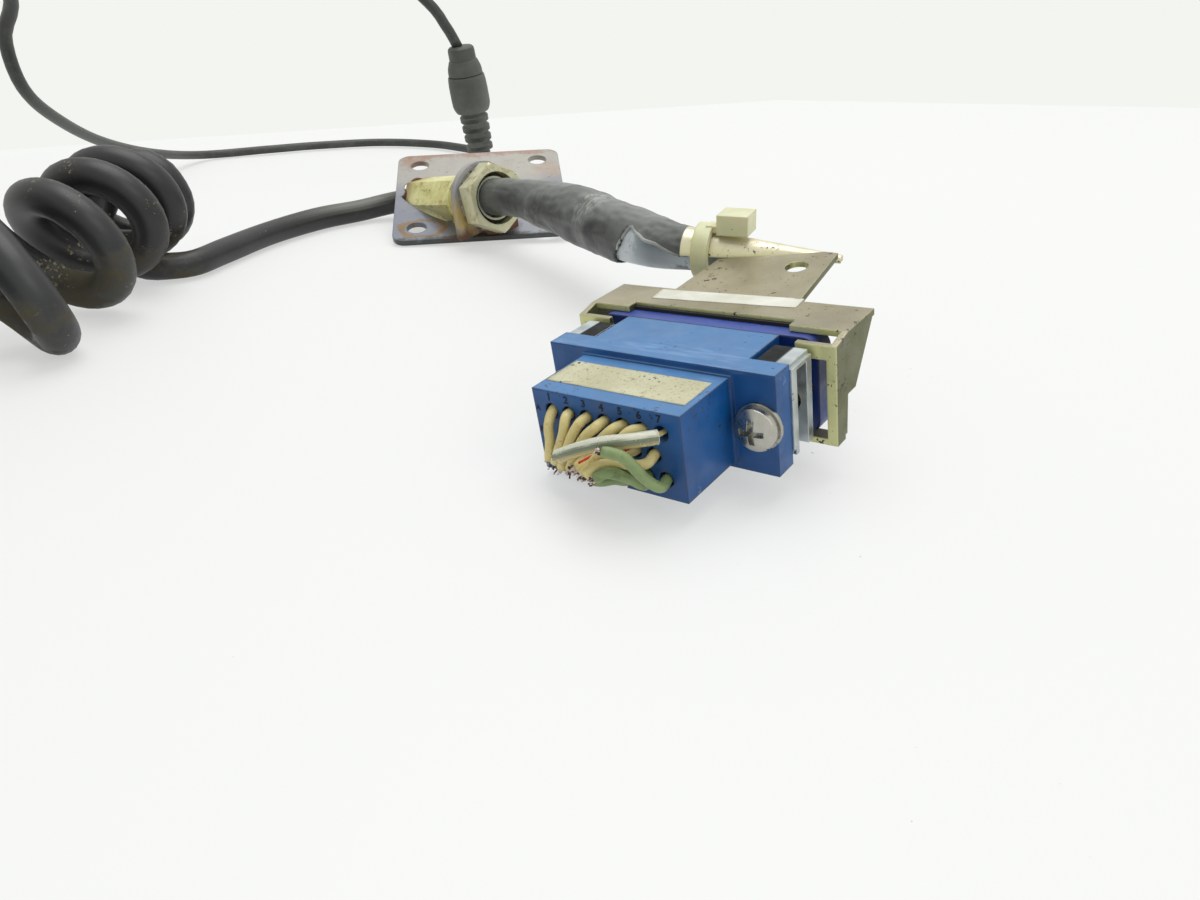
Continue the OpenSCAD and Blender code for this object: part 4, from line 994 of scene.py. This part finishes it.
def lug_material():
    """Worn steel lug, yellow and rusty towards its foot."""
    m = Mat("lug_worn_steel", (150, 150, 158), 0.45, 0.3)
    pz = m.split(m.local(PLATE))[2]
    m.round(0.0003)
    c = m.mottle((136, 137, 146), (164, 162, 160), 150, 5, 0.3, 0.7, 0.6)
    low = m.plus(pz, m.noise(300, 4), 0.006)
    c = m.over(c, (186, 160, 96), m.step(low, 0.0165, 0.0135), m.step(m.noise(240, 4), 0.35, 0.6, 0.35, 0.95))
    c = m.mix(m.step(low, 0.0095, 0.0065), c, (92, 62, 42))
    m.base(m.over(c, (120, 92, 66), m.step(m.noise(500, 5, 0.75), 0.55, 0.72), 0.5))
    m.bump(m.noise(800, 5, 0.75), 0.35, 0.00012)
    return m.m


dress("gland_lug", lug_material())


def gland_finish(name, light, dark):
    """Pale yellow chromate, brown towards the rear."""
    m = Mat(name, light, 0.36, 0.4)
    m.round(0.0003)
    z = m.split(m.local(GLAND))[2]
    c = m.mottle(light, dark, 170, 5, 0.35, 0.7, 0.65)
    c = m.over(c, (140, 110, 44), m.step(m.noise(420, 4, 0.7), 0.5, 0.68), 0.5)
    far = m.step(m.plus(z, m.noise(200, 4), 0.006), -0.024, -0.031)
    c = m.over(c, (122, 78, 32), far, 0.85)
    m.base(m.dirt(c, 1300, 0.45, (60, 48, 26), 0.06))
    m.gloss(300, 4, 0.3, 0.7, 0.28, 0.5)
    m.bump(m.noise(900, 4, 0.7), 0.2, 0.00008)
    return m.m


dress("gland_body", gland_finish("gland_yellow_chromate", (232, 228, 168), (206, 198, 124)))
dress("gland_lock_nut", gland_finish("nut_pale_chromate", (208, 206, 174), (186, 184, 142)))
dress("gland_lock_washer",
      plain("washer_worn_steel", (150, 146, 132), 0.5, 0.4, grain=1400, depth=0.4, vary=0.3))
crust = plain("rust_crust", (84, 56, 36), 0.9, grain=900, depth=0.8, vary=0.4)
axis = GLAND.way(0, 0, 1)
lathe("gland_rust", [(3.0, -33.5), (4.2, -33.3), (4.9, -32.9), (5.1, -32.5), (4.9, -32.0), (4.0, -31.6)],
      GLAND.at, axis, "base", crust, wave=lambda a, h: 1 + 0.05 * math.sin(5 * a + h))
# grime with painted shade: a dark ring where the thread ends, inside the nut
lathe("thread_grime_and_shade_ring", [(4.68, -2.8), (5.58, -2.8), (5.58, -2.2), (4.68, -2.5)], GLAND.at, axis, "base",
      plain("thread_grime_and_shade", (66, 60, 36), 0.8, grain=900, depth=0.5, vary=0.4), ring=True)
lathe("tube_lip", [(4.25, -1.85), (4.7, -1.85), (4.7, -1.0), (4.25, -1.0)], GLAND.at, axis, "base",
      plain("tube_rim", (186, 190, 172), 0.35, 0.3, grain=1500, depth=0.2), ring=True)

# ---- pendant ----
dress("pendant_front_shell", plain("housing_light_grey", (188, 188, 178), 0.55, grain=2600, depth=0.35,
                                   vary=0.05, edge=(200, 200, 190)))
dress("pendant_rear_shell",
      plain("housing_rear_grey", (166, 167, 160), 0.6, grain=2600, depth=0.35, vary=0.05))
BLACK = plain("dial_black_satin", (34, 35, 37), 0.42, grain=2400, depth=0.2, vary=0.15, edge=(66, 66, 66))
for n in ("dial_wheel", "crank_knob", "axis_knob", "step_knob", "encoder_body", "enable_button_left",
          "enable_button_right", "stop_switch"):
    dress(n, BLACK)
for n in ("cord_gland", "lead_bush"):
    dress(n, RUBBER)
for n in ("crank_pin", "dial_shaft", "housing_screws", "encoder_disc"):
    dress(n, STEEL)
ALU = plain("scale_brushed", (208, 209, 206), 0.34, 0.7, grain=3200, depth=0.1, vary=0.05)
for n in ("scale_ring", "dial_cap", "selector_plates"):
    dress(n, ALU)
dress("magnets", plain("magnet_nickel", (120, 122, 124), 0.35, 0.9))
dress("encoder_bush", plain("bush_brass", (190, 152, 80), 0.32, 1.0))
dress("circuit_board", plain("board_lacquer", (42, 104, 66), 0.35, grain=1800, depth=0.2))
dress("selector_switches", plain("switch_body", (62, 96, 74), 0.45))
dress("stop_button",
      plain("stop_red_gloss", (184, 34, 30), 0.28, grain=1200, depth=0.05, vary=0.06, Coat_Weight=0.3))
dress("stop_collar", plain("collar_yellow", (222, 184, 36), 0.36, grain=1600, depth=0.1, vary=0.06))
dress("status_lamp", plain("lamp_lens", (150, 200, 96), 0.18, grain=800, depth=0.02, Transmission_Weight=0.4))

INK = plain("print_black", (28, 28, 28), 0.5)
DIAL_X, SCALE_Z = -118, 42.4  # middle of the dial and top of the scale
INNER_R0, LONG, MIDDLE, SHORT = 31.6, 33.9, 33.2, 32.7  # radii of the scale's ticks
NUMBERS_R = 34.75


def strokes(name, lines, z):
    """Flat printed strokes: (x0, y0, x1, y1, width) in the pendant's axes."""
    verts, faces = [], []
    for x0, y0, x1, y1, w in lines:
        d = Vector((x1 - x0, y1 - y0, 0)).normalized()
        n = Vector((-d.y, d.x, 0)) * w / 2
        a, b = Vector((x0, y0, z)), Vector((x1, y1, z))
        k = len(verts)
        for h in (0.0, 0.05):
            verts += [PEND(*(q + Vector((0, 0, h)))) for q in (a - n, b - n, b + n, a + n)]
        faces += [(k + 4, k + 5, k + 6, k + 7)] + [(k + i, k + (i + 1) % 4, k + 4 + (i + 1) % 4, k + 4 + i)
                                                   for i in range(4)]
    make(name, verts, faces, "base", INK, smooth=False)


ticks = []
for k in range(100):
    a = TAU * k / 100
    c, s = math.cos(a), math.sin(a)
    r = LONG if k % 10 == 0 else MIDDLE if k % 5 == 0 else SHORT
    ticks.append((DIAL_X + INNER_R0 * c, INNER_R0 * s, DIAL_X + r * c, r * s, 0.22))
strokes("scale_ticks", ticks, SCALE_Z)
for k in range(10):
    a = math.pi - TAU * k / 10
    at = PEND(DIAL_X + NUMBERS_R * math.cos(a), NUMBERS_R * math.sin(a), SCALE_Z + 0.01)
    turn = Matrix.Rotation(a - math.pi / 2, 4, "Z")
    word("scale_%d" % (k * 10), str(k * 10), 0.0017, at, turn, "base", INK)
for s, names in ((-1, ("1", "2", "3", "4")), (1, ("1", "10", "100"))):
    for k, t in enumerate(names):
        a = math.pi / 2 + (k - (len(names) - 1) / 2) * math.radians(40 if s < 0 else 45)
        at = PEND(-64 + 14.2 * math.cos(a), s * 21 + 14.2 * math.sin(a), 40.81)
        word("step_%d_%s" % (s + 1, t), t, 0.003, at, Matrix.Identity(4), "base", INK)

# ---- table, wall tone and lamps ----
table = bpy.data.meshes.new("table")
corners = [(-1200, -600), (1300, -600), (1300, 276), (89, 464.5), (-300, 283.7), (-1200, 283.7)]
table.from_pydata([tuple(P(x, y, z)) for z in (0, -20) for x, y in corners], [],
                  [(0, 1, 2, 3, 4, 5), (11, 10, 9, 8, 7, 6)]
                  + [(i, i + 6, (i + 1) % 6 + 6, (i + 1) % 6) for i in range(6)])
table = bpy.data.objects.new("table_top", table)
bpy.context.scene.collection.objects.link(table)


def seen(tree):
    """1 where a ray from the camera, a reflection or a refraction looks, and 0 for lighting."""
    rays = tree.nodes.new("ShaderNodeLightPath").outputs
    mask = rays["Is Camera Ray"]
    for kind in ("Is Glossy Ray", "Is Transmission Ray"):
        n = tree.nodes.new("ShaderNodeMath")
        n.operation = "MAXIMUM"
        tree.links.new(mask, n.inputs[0])
        tree.links.new(rays[kind], n.inputs[1])
        mask = n.outputs[0]
    return mask


def table_material():
    """White table that glows a little, so that it looks as bright as in the photograph."""
    m = Mat("table_white", (236, 237, 237), 0.5)
    mark = m.times(m.step(m.noise(26, 7, 0.85), 0.62, 0.72), 0.10)
    specks = m.plus(m.noise(900, 3, 0.6), m.noise(9, 2), 0.25)
    specks = m.step(specks, 0.89, 0.93)
    c = m.mix(mark, (234, 235, 233), (196, 196, 190))
    m.base(m.over(c, (120, 112, 98), specks, 0.6))
    glow = m.nodes.new("ShaderNodeEmission")
    m.put(glow.inputs["Color"], m.over((247, 248, 246), (150, 142, 130), specks, 0.5))
    mix = m.nodes.new("ShaderNodeMixShader")
    m.links.new(m.times(seen(m.m.node_tree), 0.55), mix.inputs[0])
    m.links.new(m.b.outputs[0], mix.inputs[1])
    m.links.new(glow.outputs[0], mix.inputs[2])
    m.links.new(mix.outputs[0], m.nodes["Material Output"].inputs[0])
    return m.m


table.data.materials.append(table_material())

world = bpy.data.worlds.new("room")
bpy.context.scene.world = world
world.use_nodes = True
tree = world.node_tree
tone = tree.nodes.new("ShaderNodeMix")
tone.data_type = "RGBA"
tree.links.new(seen(tree), tone.inputs[0])
tone.inputs[6].default_value = (0.56, 0.57, 0.58, 1)
tone.inputs[7].default_value = lin((243, 245, 240))
tree.links.new(tone.outputs[2], tree.nodes["Background"].inputs[0])


def lamp(name, at, to, size, watts):
    d = bpy.data.lights.new(name, "AREA")
    d.shape = "SQUARE"
    d.size = size
    d.energy = watts
    o = bpy.data.objects.new(name, d)
    o.location = at
    o.rotation_euler = (Vector(to) - Vector(at)).to_track_quat("-Z", "Y").to_euler()
    bpy.context.scene.collection.objects.link(o)


lamp("lamp_top", (0.15, 0.25, 1.0), (0.05, 0.05, 0), 0.9, 7.0)
lamp("lamp_side", (0.9, -0.5, 0.8), (0.1, 0.0, 0), 0.6, 2.2)
